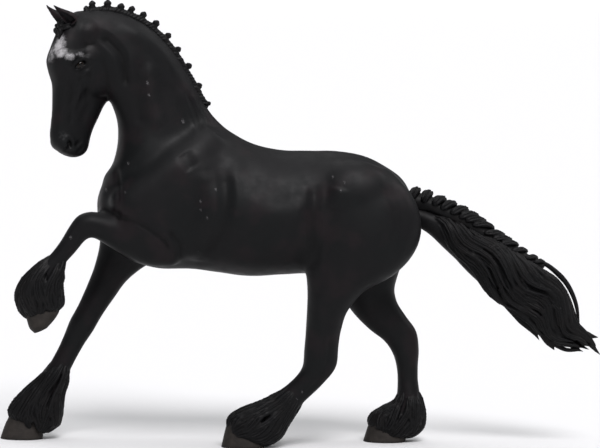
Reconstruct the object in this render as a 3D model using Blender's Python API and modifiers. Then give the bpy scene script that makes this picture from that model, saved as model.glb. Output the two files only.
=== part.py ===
"""A moulded plastic figure of a Friesian horse, about 1:19, in a collected canter on three feet.

The horse faces -X, its left side is at -Y, and the floor is Z = 0. Lengths in the tables are millimetres.
The body is lofted from pairs of outline points, fused to one skin, and parted where its parts are named.
"""

import math
import random

import bmesh
import bpy
import numpy as np
from mathutils import Euler, Matrix, Vector

MM = 0.001
GAP = 0.3
# A surface that moves out along its normals keeps the gap at its sharp edges too when it moves this far.
CLEARANCE = 0.4
FLOOR_CLEARANCE = 0.4
HORSE_COLLECTION = "friesian_horse_figure"

# Driving sizes of the figure
HEAD_YAW = math.radians(32)
POLL = (-61.0, -4.0)
EYE_RADIUS = 1.7
EYE_CENTRE = (2.8, 4.5, 103.7)
NOSTRIL = (5.6, 3.9, 82.7)
NOSTRIL_RADII = (0.9, 1.3, 0.6)
NOSTRIL_PITCH = -0.7

# Sizes of the working mesh
BODY_VOXEL = 0.55
BODY_TRIANGLES = 3000
SKIN_SMOOTHING = 6
SMOOTHING_LOSS = 0.2
RING_SIDES = 28
SEED = 7
WELD = 0.004
REDUCE_TRIES = 8
HEAD_SHARE = 0.9994
LOCK_SIDES = 5
SLIMMEST = 0.35
CUTTER_SIDES = 16
CUTTER_STEPS = 2
SPAN_STEPS = 5


# Sections: top (or front) x, z; bottom (or rear) x, z; half width; centre y; egg; power.
# Egg above 0 makes a section wider at its first point, and below 0 at its second.
TORSO = [
    (30.4, 70.0, 31.0, 62.0, 3.0, 0.0, 0.0, 2.0),
    (28.0, 73.8, 29.5, 55.0, 8.0, 0.0, 0.0, 2.2),
    (23.5, 77.0, 25.0, 50.5, 11.5, 0.0, 0.05, 2.3),
    (17.5, 79.9, 18.0, 47.5, 14.0, 0.0, 0.05, 2.3),
    (10.0, 81.2, 10.0, 46.5, 15.3, 0.0, 0.0, 2.2),
    (2.0, 81.2, 2.2, 47.3, 15.8, 0.0, -0.08, 2.1),
    (-6.0, 81.3, -6.0, 46.9, 17.0, 0.0, -0.12, 2.1),
    (-14.0, 83.2, -14.0, 46.4, 17.2, 0.0, -0.14, 2.1),
    (-21.5, 87.0, -22.0, 47.3, 16.4, 0.0, -0.2, 2.1),
    (-29.0, 89.0, -30.0, 48.2, 14.6, 0.0, -0.22, 2.1),
    (-38.0, 86.0, -38.5, 48.2, 13.4, 0.0, -0.18, 2.2),
    (-46.0, 80.0, -46.0, 50.2, 12.2, 0.0, -0.1, 2.3),
    (-51.5, 74.5, -51.0, 54.0, 10.4, 0.0, 0.0, 2.3),
    (-54.6, 70.5, -54.2, 58.0, 7.4, 0.0, 0.0, 2.2),
    (-55.8, 67.0, -55.6, 62.0, 3.0, 0.0, 0.0, 2.0),
]
NECK = [
    (-15.0, 82.5, -42.0, 56.0, 11.0, 0.0, -0.2, 2.0),
    (-21.0, 87.2, -50.0, 63.5, 11.6, 0.0, -0.28, 2.0),
    (-25.2, 91.6, -54.4, 71.6, 10.8, 0.0, -0.3, 2.0),
    (-28.6, 97.5, -51.8, 76.5, 9.4, -0.2, -0.3, 2.0),
    (-32.0, 103.2, -50.5, 82.0, 8.2, -0.6, -0.3, 2.0),
    (-36.4, 109.3, -50.5, 87.5, 7.2, -1.3, -0.28, 2.0),
    (-42.2, 114.7, -51.8, 92.0, 6.4, -2.2, -0.25, 2.0),
    (-49.0, 118.0, -54.2, 96.5, 5.7, -3.0, -0.2, 2.0),
    (-56.0, 119.0, -57.5, 101.5, 5.0, -3.6, -0.1, 2.0),
    (-61.6, 118.3, -61.0, 106.0, 3.8, -4.0, 0.0, 2.0),
]
# The head is drawn facing straight ahead, in distances ahead of the poll, and is turned after.
HEAD = [
    (0.8, 118.4, -3.3, 111.5, 3.2, 0.0, 0.0, 2.0),
    (4.7, 116.6, -7.0, 108.6, 4.5, 0.0, 0.0, 2.2),
    (6.7, 112.6, -9.6, 105.0, 5.1, 0.0, 0.0, 2.5),
    (8.4, 108.6, -11.2, 101.0, 5.4, 0.0, 0.0, 2.7),
    (9.6, 105.2, -10.7, 97.5, 5.3, 0.0, 0.0, 2.8),
    (9.2, 102.3, -8.7, 94.5, 4.8, 0.0, 0.0, 2.7),
    (8.0, 98.5, -7.0, 92.0, 4.2, 0.0, 0.0, 2.6),
    (8.0, 94.0, -5.9, 89.4, 3.7, 0.0, 0.0, 2.6),
    (8.4, 90.0, -4.8, 87.2, 3.4, 0.0, 0.0, 2.5),
    (8.9, 86.4, -3.9, 85.3, 3.3, 0.0, 0.0, 2.5),
    (8.9, 84.0, -3.1, 82.6, 3.5, 0.0, 0.0, 2.4),
    (7.7, 81.4, -2.5, 80.2, 3.5, 0.0, 0.0, 2.3),
    (5.3, 79.6, -0.4, 78.8, 3.0, 0.0, 0.0, 2.2),
    (3.2, 78.6, 1.2, 78.4, 1.5, 0.0, 0.0, 2.0),
]
LEFT_SHOULDER = [
    (-27.0, 88.5, -19.5, 83.0, 3.5, -5.0, 0.0, 2.0),
    (-36.0, 82.5, -20.0, 73.0, 5.4, -8.4, 0.0, 2.2),
    (-46.0, 75.0, -23.5, 63.0, 6.0, -9.4, 0.0, 2.3),
    (-52.5, 68.0, -29.0, 55.5, 6.2, -9.8, 0.0, 2.3),
    (-50.5, 63.0, -34.5, 50.0, 5.4, -9.8, 0.0, 2.1),
]
LEFT_FOREARM = [
    (-43.0, 63.8, -34.6, 49.6, 5.2, -9.6, 0.0, 2.1),
    (-48.0, 63.6, -42.0, 49.8, 5.2, -9.8, 0.0, 2.1),
    (-53.0, 63.5, -49.0, 52.8, 4.5, -9.6, 0.0, 2.1),
    (-57.2, 64.2, -54.8, 56.2, 3.8, -9.2, 0.0, 2.2),
    (-60.8, 63.2, -57.4, 57.4, 3.6, -8.9, 0.0, 2.4),
    (-63.4, 59.8, -59.2, 56.2, 3.4, -8.6, 0.0, 2.4),
    (-65.6, 56.0, -61.6, 52.9, 2.9, -8.4, 0.0, 2.2),
    (-68.0, 52.8, -64.3, 49.8, 2.7, -8.2, 0.0, 2.1),
    (-71.4, 49.2, -66.6, 45.8, 3.0, -8.0, 0.0, 2.1),
]
LEFT_FORE_PASTERN = [
    (-69.0, 51.6, -65.0, 48.8, 2.6, -8.2, 0.0, 2.1),
    (-71.6, 49.0, -66.4, 45.8, 3.0, -8.0, 0.0, 2.1),
    (-74.0, 45.2, -67.4, 43.0, 3.0, -8.0, 0.0, 2.1),
    (-74.6, 41.0, -67.2, 40.4, 3.0, -8.0, 0.0, 2.1),
    (-74.6, 37.0, -66.2, 38.6, 3.3, -8.0, 0.0, 2.1),
]
LEFT_FORE_HOOF = [
    (-74.9, 36.6, -65.6, 38.3, 3.6, -8.0, 0.0, 2.2),
    (-74.0, 34.0, -65.3, 37.7, 4.0, -8.0, 0.0, 2.2),
    (-72.8, 31.4, -65.2, 37.1, 4.3, -8.0, 0.0, 2.2),
]
RIGHT_SHOULDER = [
    (-27.0, 88.5, -19.5, 83.0, 3.5, 5.0, 0.0, 2.0),
    (-37.0, 82.5, -21.0, 72.5, 5.4, 8.2, 0.0, 2.2),
    (-48.0, 75.5, -25.0, 62.0, 6.0, 9.2, 0.0, 2.3),
    (-55.2, 68.0, -33.0, 53.5, 6.0, 9.4, 0.0, 2.3),
    (-55.2, 60.0, -39.5, 48.5, 5.4, 9.2, 0.0, 2.1),
]
RIGHT_FOREARM = [
    (-55.0, 60.0, -38.5, 50.0, 5.2, 9.2, 0.0, 2.1),
    (-54.8, 54.0, -43.4, 47.2, 5.0, 9.0, 0.0, 2.1),
    (-56.0, 48.6, -47.6, 43.6, 4.4, 8.7, 0.0, 2.1),
    (-58.1, 42.4, -51.2, 38.6, 3.8, 8.4, 0.0, 2.1),
    (-60.4, 37.0, -53.9, 34.6, 3.6, 8.1, 0.0, 2.3),
    (-62.6, 32.8, -56.4, 30.2, 3.5, 7.9, 0.0, 2.4),
    (-64.2, 28.6, -58.9, 26.3, 2.9, 7.7, 0.0, 2.2),
    (-66.2, 24.2, -61.4, 21.8, 2.7, 7.4, 0.0, 2.1),
    (-69.0, 19.2, -63.6, 17.0, 2.8, 7.2, 0.0, 2.1),
    (-71.8, 15.6, -65.6, 12.0, 3.1, 7.0, 0.0, 2.1),
]
RIGHT_FORE_PASTERN = [
    (-68.2, 20.6, -63.4, 18.2, 2.7, 7.2, 0.0, 2.1),
    (-71.6, 16.0, -65.4, 12.4, 3.1, 7.0, 0.0, 2.1),
    (-75.4, 11.6, -68.6, 7.8, 3.0, 7.0, 0.0, 2.1),
    (-78.4, 7.2, -70.2, 4.6, 3.4, 7.0, 0.0, 2.1),
]
RIGHT_FORE_HOOF = [
    (-78.9, 6.9, -70.0, 4.2, 3.7, 7.0, 0.0, 2.2),
    (-80.4, 3.6, -69.8, 2.0, 4.1, 7.0, 0.0, 2.2),
    (-81.6, 0.0, -69.8, 0.0, 4.5, 7.0, 0.0, 2.2),
]
LEFT_THIGH = [
    (3.5, 78.5, 23.5, 77.0, 5.0, -5.5, 0.0, 2.1),
    (1.5, 70.5, 30.2, 69.5, 7.4, -7.8, 0.0, 2.2),
    (0.8, 62.5, 32.6, 61.5, 8.2, -8.7, 0.0, 2.2),
    (0.6, 55.5, 31.0, 54.5, 8.2, -9.2, 0.0, 2.2),
    (1.2, 49.0, 25.5, 48.2, 7.2, -9.6, 0.0, 2.1),
    (1.8, 43.0, 17.6, 43.8, 5.9, -9.6, 0.0, 2.1),
]
LEFT_GASKIN = [
    (0.9, 51.0, 26.0, 50.0, 7.3, -9.6, 0.0, 2.1),
    (1.7, 44.0, 18.6, 44.8, 6.0, -9.6, 0.0, 2.1),
    (1.8, 38.0, 12.9, 38.4, 4.9, -9.3, 0.0, 2.1),
    (1.6, 32.0, 11.1, 33.0, 4.2, -8.9, 0.0, 2.1),
    (1.3, 27.0, 10.4, 28.2, 3.7, -8.5, 0.0, 2.3),
    (1.0, 22.6, 9.8, 22.4, 3.6, -8.1, 0.0, 2.4),
    (-0.7, 19.6, 6.2, 17.6, 3.1, -7.8, 0.0, 2.3),
    (-3.6, 16.8, 1.6, 13.0, 2.8, -7.5, 0.0, 2.1),
    (-7.4, 13.6, -2.4, 8.8, 3.1, -7.2, 0.0, 2.1),
]
LEFT_HIND_PASTERN = [
    (-4.2, 16.4, 1.0, 12.2, 2.8, -7.4, 0.0, 2.1),
    (-8.0, 13.4, -2.6, 8.4, 3.1, -7.0, 0.0, 2.1),
    (-13.6, 11.0, -7.0, 5.6, 3.0, -7.0, 0.0, 2.1),
    (-18.8, 8.0, -9.8, 4.4, 3.5, -7.0, 0.0, 2.1),
]
LEFT_HIND_HOOF = [
    (-19.3, 7.6, -9.6, 4.0, 3.8, -7.0, 0.0, 2.2),
    (-20.2, 4.0, -9.4, 2.0, 4.2, -7.0, 0.0, 2.2),
    (-21.0, 0.0, -9.2, 0.0, 4.6, -7.0, 0.0, 2.2),
]
RIGHT_THIGH = [
    (3.5, 78.5, 23.5, 77.0, 5.0, 5.5, 0.0, 2.1),
    (2.5, 70.5, 30.0, 69.5, 7.4, 7.8, 0.0, 2.2),
    (2.8, 62.5, 32.0, 61.0, 8.2, 8.7, 0.0, 2.2),
    (4.6, 55.0, 31.0, 54.0, 8.0, 9.0, 0.0, 2.2),
    (8.2, 47.5, 28.8, 48.2, 6.8, 9.2, 0.0, 2.1),
    (12.0, 41.5, 27.2, 43.0, 5.6, 9.2, 0.0, 2.1),
]
RIGHT_GASKIN = [
    (7.4, 49.0, 29.2, 49.6, 7.0, 9.2, 0.0, 2.1),
    (11.4, 42.4, 27.3, 43.8, 5.8, 9.2, 0.0, 2.1),
    (15.8, 36.0, 27.8, 39.2, 4.9, 9.0, 0.0, 2.1),
    (20.6, 31.2, 30.4, 35.0, 4.1, 8.7, 0.0, 2.1),
    (24.8, 28.0, 33.4, 30.8, 3.7, 8.4, 0.0, 2.3),
    (27.4, 24.2, 34.2, 26.0, 3.5, 8.1, 0.0, 2.4),
    (28.5, 20.0, 34.0, 20.8, 2.9, 7.8, 0.0, 2.2),
    (28.7, 15.6, 34.2, 15.6, 2.7, 7.4, 0.0, 2.1),
    (28.4, 11.2, 35.0, 10.8, 3.1, 7.0, 0.0, 2.1),
]
RIGHT_HIND_PASTERN = [
    (28.7, 17.2, 34.1, 17.2, 2.7, 7.5, 0.0, 2.1),
    (28.5, 12.0, 34.8, 11.4, 3.1, 7.0, 0.0, 2.1),
    (25.8, 9.4, 33.8, 7.4, 3.0, 7.0, 0.0, 2.1),
    (21.8, 7.2, 31.6, 4.6, 3.4, 7.0, 0.0, 2.1),
]
RIGHT_HIND_HOOF = [
    (21.3, 6.8, 31.4, 4.2, 3.7, 7.0, 0.0, 2.2),
    (20.2, 3.4, 31.2, 2.0, 4.1, 7.0, 0.0, 2.2),
    (19.2, 0.0, 31.0, 0.0, 4.5, 7.0, 0.0, 2.2),
]


def clear_scene():
    for obj in list(bpy.data.objects):
        bpy.data.objects.remove(obj, do_unlink=True)


def mesh_object(name, bm):
    """A mesh object in metres from a bmesh in millimetres."""
    bmesh.ops.recalc_face_normals(bm, faces=bm.faces)
    bmesh.ops.scale(bm, vec=(MM, MM, MM), verts=bm.verts)
    mesh = bpy.data.meshes.new(name)
    bm.to_mesh(mesh)
    bm.free()
    obj = bpy.data.objects.new(name, mesh)
    bpy.context.scene.collection.objects.link(obj)
    return obj


def smooth_rows(rows, steps):
    """The rows of a table with steps - 1 more between each two, on a Catmull-Rom curve."""
    rows = np.array(rows, float)
    padded = np.vstack([2 * rows[0] - rows[1], rows, 2 * rows[-1] - rows[-2]])
    made = []
    for a, b, c, d in zip(padded, padded[1:], padded[2:], padded[3:]):
        for t in np.arange(steps) / steps:
            made.append(
                0.5
                * (
                    2 * b
                    + (c - a) * t
                    + (2 * a - 5 * b + 4 * c - d) * t**2
                    + (3 * b - 3 * c + d - a) * t**3
                )
            )
    made.append(rows[-1])
    return np.array(made)


def ring_point(section, angle, grow):
    """The point at an angle round one section, grown outwards by grow. Angle 0 is at its first point."""
    top_x, top_z, bottom_x, bottom_z, half_width, centre_y, egg, power = section
    chord = np.array([top_x - bottom_x, 0.0, top_z - bottom_z])
    middle = np.array([(top_x + bottom_x) / 2, centre_y, (top_z + bottom_z) / 2])
    half_chord = np.linalg.norm(chord) / 2
    along = chord / (2 * half_chord)
    c = math.cos(angle)
    s = math.sin(angle)
    c_round = math.copysign(abs(c) ** (2 / power), c)
    s_round = math.copysign(abs(s) ** (2 / power), s)
    lateral = (half_width * (1 + egg * c_round) + grow) * s_round
    return middle + along * (half_chord + grow) * c_round + np.array([0.0, lateral, 0.0])


def ring(section, sides, grow):
    return [ring_point(section, 2 * math.pi * k / sides, grow) for k in range(sides)]


def loft(name, table, sides=RING_SIDES, steps=SPAN_STEPS, grow=0.0):
    """A closed body through the sections of a table, grown sideways by grow."""
    bm = bmesh.new()
    rings = []
    for section in smooth_rows(table, steps):
        rings.append([bm.verts.new(p) for p in ring(section, sides, grow)])
    for lower, upper in zip(rings, rings[1:]):
        for k in range(sides):
            j = (k + 1) % sides
            bm.faces.new((lower[k], lower[j], upper[j], upper[k]))
    bm.faces.new(rings[0])
    bm.faces.new(rings[-1])
    return mesh_object(name, bm)


def ball(name, centre, radii, rotation=(0.0, 0.0, 0.0), segments=24, rings=14):
    """An ellipsoid, with its radii and turn."""
    bm = bmesh.new()
    bmesh.ops.create_uvsphere(bm, u_segments=segments, v_segments=rings, radius=1.0)
    place = Matrix.Translation(centre) @ Euler(rotation).to_matrix().to_4x4()
    bm.transform(place @ Matrix.Diagonal((*radii, 1.0)))
    return mesh_object(name, bm)


def section_at(rows, share):
    """The section at a share of the way along the rows, and past the last one on the same course."""
    last = len(rows) - 1
    place = share * last
    k = int(min(max(math.floor(place), 0), last - 1))
    section = rows[k] + (rows[k + 1] - rows[k]) * (place - k)
    section[4] = max(section[4], SLIMMEST)
    return section


# Outline of a lock and of a strand of a plait: share of its length, of its width and of its thickness, and
# its height over the surface in thicknesses. The last row is the point of its tip.
LOCK = [
    (0.0, 0.6, 0.9, -0.9),
    (0.2, 1.0, 1.0, 0.1),
    (0.68, 0.9, 0.9, 0.2),
    (1.0, 0.0, 0.0, 0.0),
]
STRAND = [
    (0.0, 0.5, 0.6, -0.7),
    (0.35, 1.0, 1.0, 0.2),
    (0.75, 1.0, 0.9, 0.25),
    (1.0, 0.0, 0.0, -0.5),
]


def lock(
    name, rows, angle, start, end, width, thickness, rise=0.0, turn=0.0, wave=0.0, phase=0.0, shape=LOCK, grow=0.0
):
    """A flat lock along the surface of a lofted form, from its sunk root to its tip, which rises.

    The numbers start and end are shares of the form's length, and grow moves the lock's own surface out.
    """
    centres = []
    outward = []
    for share, _, _, lift in shape:
        section = section_at(rows, start + (end - start) * share)
        at = angle + turn * share + wave * math.sin(phase + 6.0 * share)
        height = lift * thickness + rise * share**2
        centres.append(ring_point(section, at, height))
        outward.append(ring_point(section, at, height + 1.0) - centres[-1])
    along = np.gradient(np.array(centres), axis=0)
    bm = bmesh.new()
    rings = []
    for centre, out, way, (_, wide, thick, _) in zip(centres[:-1], outward, along, shape):
        across = np.cross(way, out)
        across *= (wide * width / 2 + grow) / np.linalg.norm(across)
        out = np.cross(across, way)
        out *= (thick * thickness / 2 + grow) / np.linalg.norm(out)
        made = []
        for k in range(LOCK_SIDES):
            a = 2 * math.pi * (k + 0.5) / LOCK_SIDES
            made.append(bm.verts.new(centre + across * math.cos(a) + out * math.sin(a)))
        rings.append(made)
    for lower, upper in zip(rings, rings[1:]):
        for k in range(LOCK_SIDES):
            j = (k + 1) % LOCK_SIDES
            bm.faces.new((lower[k], lower[j], upper[j], upper[k]))
    bm.faces.new(rings[0])
    beyond = along[-1] / np.linalg.norm(along[-1]) * 2 * grow
    tip = bm.verts.new(centres[-1] + beyond)
    for k in range(LOCK_SIDES):
        bm.faces.new((rings[-1][k], rings[-1][(k + 1) % LOCK_SIDES], tip))
    return mesh_object(name, bm)


def turn_head(points):
    """Points of the straight head, as ahead, lateral, z, placed in the frame with the head's turn."""
    points = np.array(points, float)
    ahead = points[..., 0]
    # The left side is at -Y, and the head turns to the left.
    left = points[..., 1]
    cos = math.cos(HEAD_YAW)
    sin = math.sin(HEAD_YAW)
    x = POLL[0] - ahead * cos + left * sin
    y = POLL[1] - ahead * sin - left * cos
    return np.stack([x, y, points[..., 2]], axis=-1)


def place_on_head(obj):
    """Moves an object drawn as ahead, left, z to its place on the turned head."""
    co = np.array([v.co for v in obj.data.vertices]) / MM
    moved = turn_head(co) * MM
    obj.data.vertices.foreach_set("co", moved.ravel())
    bm = bmesh.new()
    bm.from_mesh(obj.data)
    bmesh.ops.recalc_face_normals(bm, faces=bm.faces)
    bm.to_mesh(obj.data)
    bm.free()
    return obj


def joined(name, objects):
    """One object that holds the meshes of several, which are removed."""
    bm = bmesh.new()
    for obj in objects:
        bm.from_mesh(obj.data)
        bpy.data.objects.remove(obj, do_unlink=True)
    mesh = bpy.data.meshes.new(name)
    bm.to_mesh(mesh)
    bm.free()
    made = bpy.data.objects.new(name, mesh)
    bpy.context.scene.collection.objects.link(made)
    return made


def applied(obj):
    """The object with its modifiers made part of its mesh."""
    graph = bpy.context.evaluated_depsgraph_get()
    mesh = bpy.data.meshes.new_from_object(obj.evaluated_get(graph))
    obj.modifiers.clear()
    obj.data = mesh
    return obj


def smooth_line(points, steps):
    return smooth_rows([tuple(p) for p in points], steps)


def linked_copy(obj, name):
    made = bpy.data.objects.new(name, obj.data.copy())
    bpy.context.scene.collection.objects.link(made)
    return made


def moved_out(mesh, distance):
    """The points of a mesh, moved out along their normals by a distance."""
    co = np.empty(len(mesh.vertices) * 3)
    normal = np.empty(len(mesh.vertices) * 3)
    mesh.vertices.foreach_get("co", co)
    mesh.vertex_normals.foreach_get("vector", normal)
    return co + normal * distance * MM


def grown(obj, distance):
    """A copy of a closed mesh with its surface moved out by a distance."""
    made = linked_copy(obj, "grown_" + obj.name)
    made.data.vertices.foreach_set("co", moved_out(made.data, distance))
    made.data.update()
    return made


def cut_clear(obj, *others):
    """Cuts an object clear of others by the gap that touching pieces keep."""
    for other in others:
        wider = grown(other, CLEARANCE)
        boolean(obj, wider, "DIFFERENCE")
        removed(wider)


def removed(*objects):
    for obj in objects:
        bpy.data.objects.remove(obj, do_unlink=True)


def boolean(obj, other, operation, solver="MANIFOLD"):
    """Cuts, joins or keeps the shared part of two closed meshes, and makes it part of the first."""
    modifier = obj.modifiers.new(operation.lower(), "BOOLEAN")
    modifier.operation = operation
    modifier.solver = solver
    modifier.object = other
    applied(obj)
    return keep_largest(obj)


def fused(name, objects, solver="MANIFOLD"):
    """One closed body from several that overlap. The others are removed."""
    if len(objects) == 1:
        objects[0].name = name
        return objects[0]
    group = bpy.data.collections.new(name + "_pieces")
    bpy.context.scene.collection.children.link(group)
    first = objects[0]
    for obj in objects[1:]:
        group.objects.link(obj)
    modifier = first.modifiers.new("union", "BOOLEAN")
    modifier.operation = "UNION"
    modifier.operand_type = "COLLECTION"
    modifier.solver = solver
    modifier.collection = group
    applied(first)
    removed(*objects[1:])
    bpy.data.collections.remove(group)
    first.name = name
    return keep_largest(first)


def keep_largest(obj):
    """Drops every closed surface of the mesh but the largest."""
    bm = bmesh.new()
    bm.from_mesh(obj.data)
    seen = set()
    groups = []
    for start in bm.verts:
        if start.index in seen:
            continue
        seen.add(start.index)
        group = [start]
        for vert in group:
            for edge in vert.link_edges:
                other = edge.other_vert(vert)
                if other.index not in seen:
                    seen.add(other.index)
                    group.append(other)
        groups.append(group)
    groups.sort(key=extent, reverse=True)
    for group in groups[1:]:
        bmesh.ops.delete(bm, geom=group, context="VERTS")
    bm.to_mesh(obj.data)
    bm.free()
    return obj


def extent(group):
    co = np.array([v.co for v in group])
    return float(np.prod(co.max(axis=0) - co.min(axis=0) + 1e-6))


def box(name, low, high):
    """A box from its lowest to its highest corner."""
    bm = bmesh.new()
    bmesh.ops.create_cube(bm, size=1.0)
    low = Vector(low)
    high = Vector(high)
    bm.transform(Matrix.Translation((low + high) / 2) @ Matrix.Diagonal((*(high - low), 1.0)))
    return mesh_object(name, bm)


def slab(name, centre, angle, size, yaw=0.0):
    """A box whose underside passes through centre, square to the direction that angle gives in the XZ plane."""
    bm = bmesh.new()
    bmesh.ops.create_cube(bm, size=1.0)
    bm.transform(Matrix.Diagonal((*size, 1.0)) @ Matrix.Translation((0, 0, 0.5)))
    turn = Euler((0.0, math.radians(angle), math.radians(yaw))).to_matrix().to_4x4()
    bm.transform(Matrix.Translation(centre) @ turn)
    return mesh_object(name, bm)


def voxel_skin(name, solids, voxel, smoothing):
    """One smooth closed skin round several solids."""
    skin = joined(name, solids)
    remesh = skin.modifiers.new("remesh", "REMESH")
    remesh.mode = "VOXEL"
    remesh.voxel_size = voxel * MM
    smooth = skin.modifiers.new("smooth", "SMOOTH")
    smooth.factor = 0.5
    smooth.iterations = smoothing
    return applied(skin)


def is_closed(mesh):
    """Whether every edge of the mesh lies between two faces, also with its nearest points as one."""
    bm = bmesh.new()
    bm.from_mesh(mesh)
    bmesh.ops.remove_doubles(bm, verts=bm.verts, dist=WELD * MM)
    closed = all(len(edge.link_faces) == 2 for edge in bm.edges)
    closed = closed and all(face.calc_area() > 0 for face in bm.faces)
    bm.free()
    return closed


def welded(obj):
    """The mesh in triangles, with the slivers that a cut leaves taken out."""
    bm = bmesh.new()
    bm.from_mesh(obj.data)
    bmesh.ops.remove_doubles(bm, verts=bm.verts, dist=5 * WELD * MM)
    bmesh.ops.dissolve_degenerate(bm, edges=bm.edges, dist=5 * WELD * MM)
    bmesh.ops.triangulate(bm, faces=bm.faces)
    bm.to_mesh(obj.data)
    bm.free()
    return obj


def reduced(skin, triangles):
    """The skin brought down to about this many triangles, with finer ones on the head and the feet."""
    welded(skin)
    fine = skin.vertex_groups.new(name="fine")
    for vert in skin.data.vertices:
        x, y, z = vert.co / MM
        share = HEAD_SHARE if z > 77 and x < -50 else 1.0
        fine.add([vert.index], share, "REPLACE")
    full = skin.data
    faces = len(full.polygons)
    for attempt in range(REDUCE_TRIES):
        skin.data = full.copy()
        decimate = skin.modifiers.new("decimate", "DECIMATE")
        decimate.ratio = triangles * (1 + 0.02 * attempt) / faces
        decimate.vertex_group = "fine"
        decimate.invert_vertex_group = False
        decimate.vertex_group_factor = 1.0
        applied(skin)
        keep_largest(skin)
        if is_closed(skin.data):
            return skin
    print("the reduced skin is not closed")
    return skin


def falloff(t):
    """1 at 0, falling smoothly to 0 at 1."""
    t = np.clip(t, 0.0, 1.0)
    return 1.0 - t * t * (3.0 - 2.0 * t)


def distance_to_line(points, line):
    """The distance of each point from a line of straight runs, and how far along it the nearest point is."""
    best = np.full(len(points), 1e9)
    place = np.zeros(len(points))
    runs = np.linalg.norm(np.diff(line, axis=0), axis=1)
    start = 0.0
    for a, b, run in zip(line, line[1:], runs):
        t = np.clip((points - a) @ (b - a) / max(run * run, 1e-9), 0.0, 1.0)
        gap = np.linalg.norm(points - (a + t[:, None] * (b - a)), axis=1)
        nearer = gap < best
        best[nearer] = gap[nearer]
        place[nearer] = (start + t * run)[nearer]
        start += run
    return best, place / max(runs.sum(), 1e-9)


def head_local(points):
    """The inverse of turn_head."""
    cos = math.cos(HEAD_YAW)
    sin = math.sin(HEAD_YAW)
    dx = points[:, 0] - POLL[0]
    dy = points[:, 1] - POLL[1]
    return np.stack([-dx * cos - dy * sin, dx * sin - dy * cos, points[:, 2]], axis=1)


def press(skin, strokes):
    """Raises or sinks the skin along lines seen from the side.

    A stroke is its frame (body or head), side (left, right or both), width, height and points as x, z. Height
    is below 0 for a groove. Only skin that faces its side moves, along its own normal.
    """
    mesh = skin.data
    count = len(mesh.vertices)
    co = np.empty(count * 3)
    mesh.vertices.foreach_get("co", co)
    co = co.reshape(-1, 3) / MM
    normal = np.empty(count * 3)
    mesh.vertex_normals.foreach_get("vector", normal)
    normal = normal.reshape(-1, 3)
    moved = co.copy()
    for frame, side, width, height, points in strokes:
        line = smooth_line(points, 6)
        places = head_local(co) if frame == "head" else co
        turned = head_local(co + normal) - head_local(co) if frame == "head" else normal
        flat = places[:, [0, 2]]
        # On the head the second number is left, and on the body it is Y, which is right.
        right = -places[:, 1] if frame == "head" else places[:, 1]
        right_normal = -turned[:, 1] if frame == "head" else turned[:, 1]
        near, along = distance_to_line(flat, line)
        amount = falloff(near / width) * height
        amount *= np.clip(np.minimum(along, 1 - along) * 6 + 0.25, 0, 1)
        for name, sign in (("left", -1), ("right", 1)):
            if side not in (name, "both"):
                continue
            faces = np.clip((right_normal * sign - 0.05) / 0.4, 0, 1)
            faces *= right * sign > 0
            moved += normal * (amount * faces)[:, None]
    mesh.vertices.foreach_set("co", (moved * MM).ravel())
    mesh.update()
    return skin


# Muscles that stand proud of the lofts: side sign, centre as x, y, z for the right side, radii, pitch
MUSCLES = [
    ("both", (14.0, 9.0, 68.0), (13.0, 7.2, 11.0), 0.0),
    ("both", (-28.0, 9.8, 59.0), (9.0, 5.4, 8.0), 0.5),
    ("both", (-49.0, 5.4, 64.0), (6.0, 5.4, 8.0), 0.0),
    ("both", (-36.0, 6.5, 77.0), (9.0, 5.6, 8.0), -0.6),
]
# Cheeks, brows and nostril rims on the straight head: ahead, left, z, radii
HEAD_FORMS = [
    ((-4.4, 3.2, 103.6), (5.6, 2.5, 7.6)),
    ((3.8, 3.9, 105.6), (3.6, 1.6, 2.6)),
    ((5.4, 2.3, 82.6), (2.6, 1.5, 2.6)),
]


# Grooves and ridges of the skin: body or head, side, width, height, and points as x (or ahead), z
STROKES = [
    # The groove behind the upper arm and the muscle before it
    ("body", "both", 3.2, -0.8, [(-21.7, 77), (-21.2, 67.5), (-23.4, 56.5), (-30.2, 49.6)]),
    ("body", "both", 4.0, 0.5, [(-27, 76), (-26, 67), (-29, 57)]),
    # The fold of the flank, and the loin before it
    ("body", "both", 2.6, -0.6, [(3, 73), (2.5, 62), (3, 53.5), (1.9, 49)]),
    ("body", "both", 3.0, 0.35, [(-1, 72), (-1.5, 62)]),
    # The edge of the shoulder blade, the hollow above it, and the ribs' hollow
    ("body", "both", 4.5, 0.5, [(-24, 86), (-37, 76), (-50, 66)]),
    ("body", "both", 3.2, -0.5, [(-33, 80.5), (-30, 76.5)]),
    ("body", "both", 4.5, -0.35, [(-17, 79), (-11, 71), (-5, 69), (0, 72)]),
    # The point of the hip, and the line down the back of the thigh
    ("body", "both", 3.5, 0.5, [(9.6, 72), (8.3, 66)]),
    ("body", "both", 3.0, -0.4, [(24, 73), (26.5, 63), (24, 52)]),
    # The groove of the windpipe, and the neck's muscle above it
    ("body", "both", 2.8, -0.5, [(-44.5, 106), (-45, 97), (-44.5, 87)]),
    ("body", "both", 4.5, 0.4, [(-48, 115), (-38, 106), (-31, 94)]),
    # Brow, lower lid, the crest of the face, and the mouth
    ("head", "both", 1.5, 0.5, [(0.6, 104.9), (2.8, 106.4), (5.0, 105.2)]),
    ("head", "both", 1.1, 0.3, [(0.9, 102.4), (3.0, 101.5), (5.0, 102.4)]),
    ("head", "both", 1.7, 0.35, [(1.6, 98.5), (4.6, 91.5)]),
    ("head", "both", 1.8, -0.35, [(-1.4, 97.0), (1.6, 90.0)]),
    ("head", "both", 0.9, -0.5, [(1.3, 83.3), (3.8, 81.6), (6.6, 80.4)]),
]


def muscles():
    made = []
    for k, (side, centre, radii, pitch) in enumerate(MUSCLES):
        for sign in (-1, 1):
            x, y, z = centre
            made.append(ball(f"muscle_{k}_{sign}", (x, sign * y, z), radii, (0.0, pitch, 0.0)))
    return made


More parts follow.
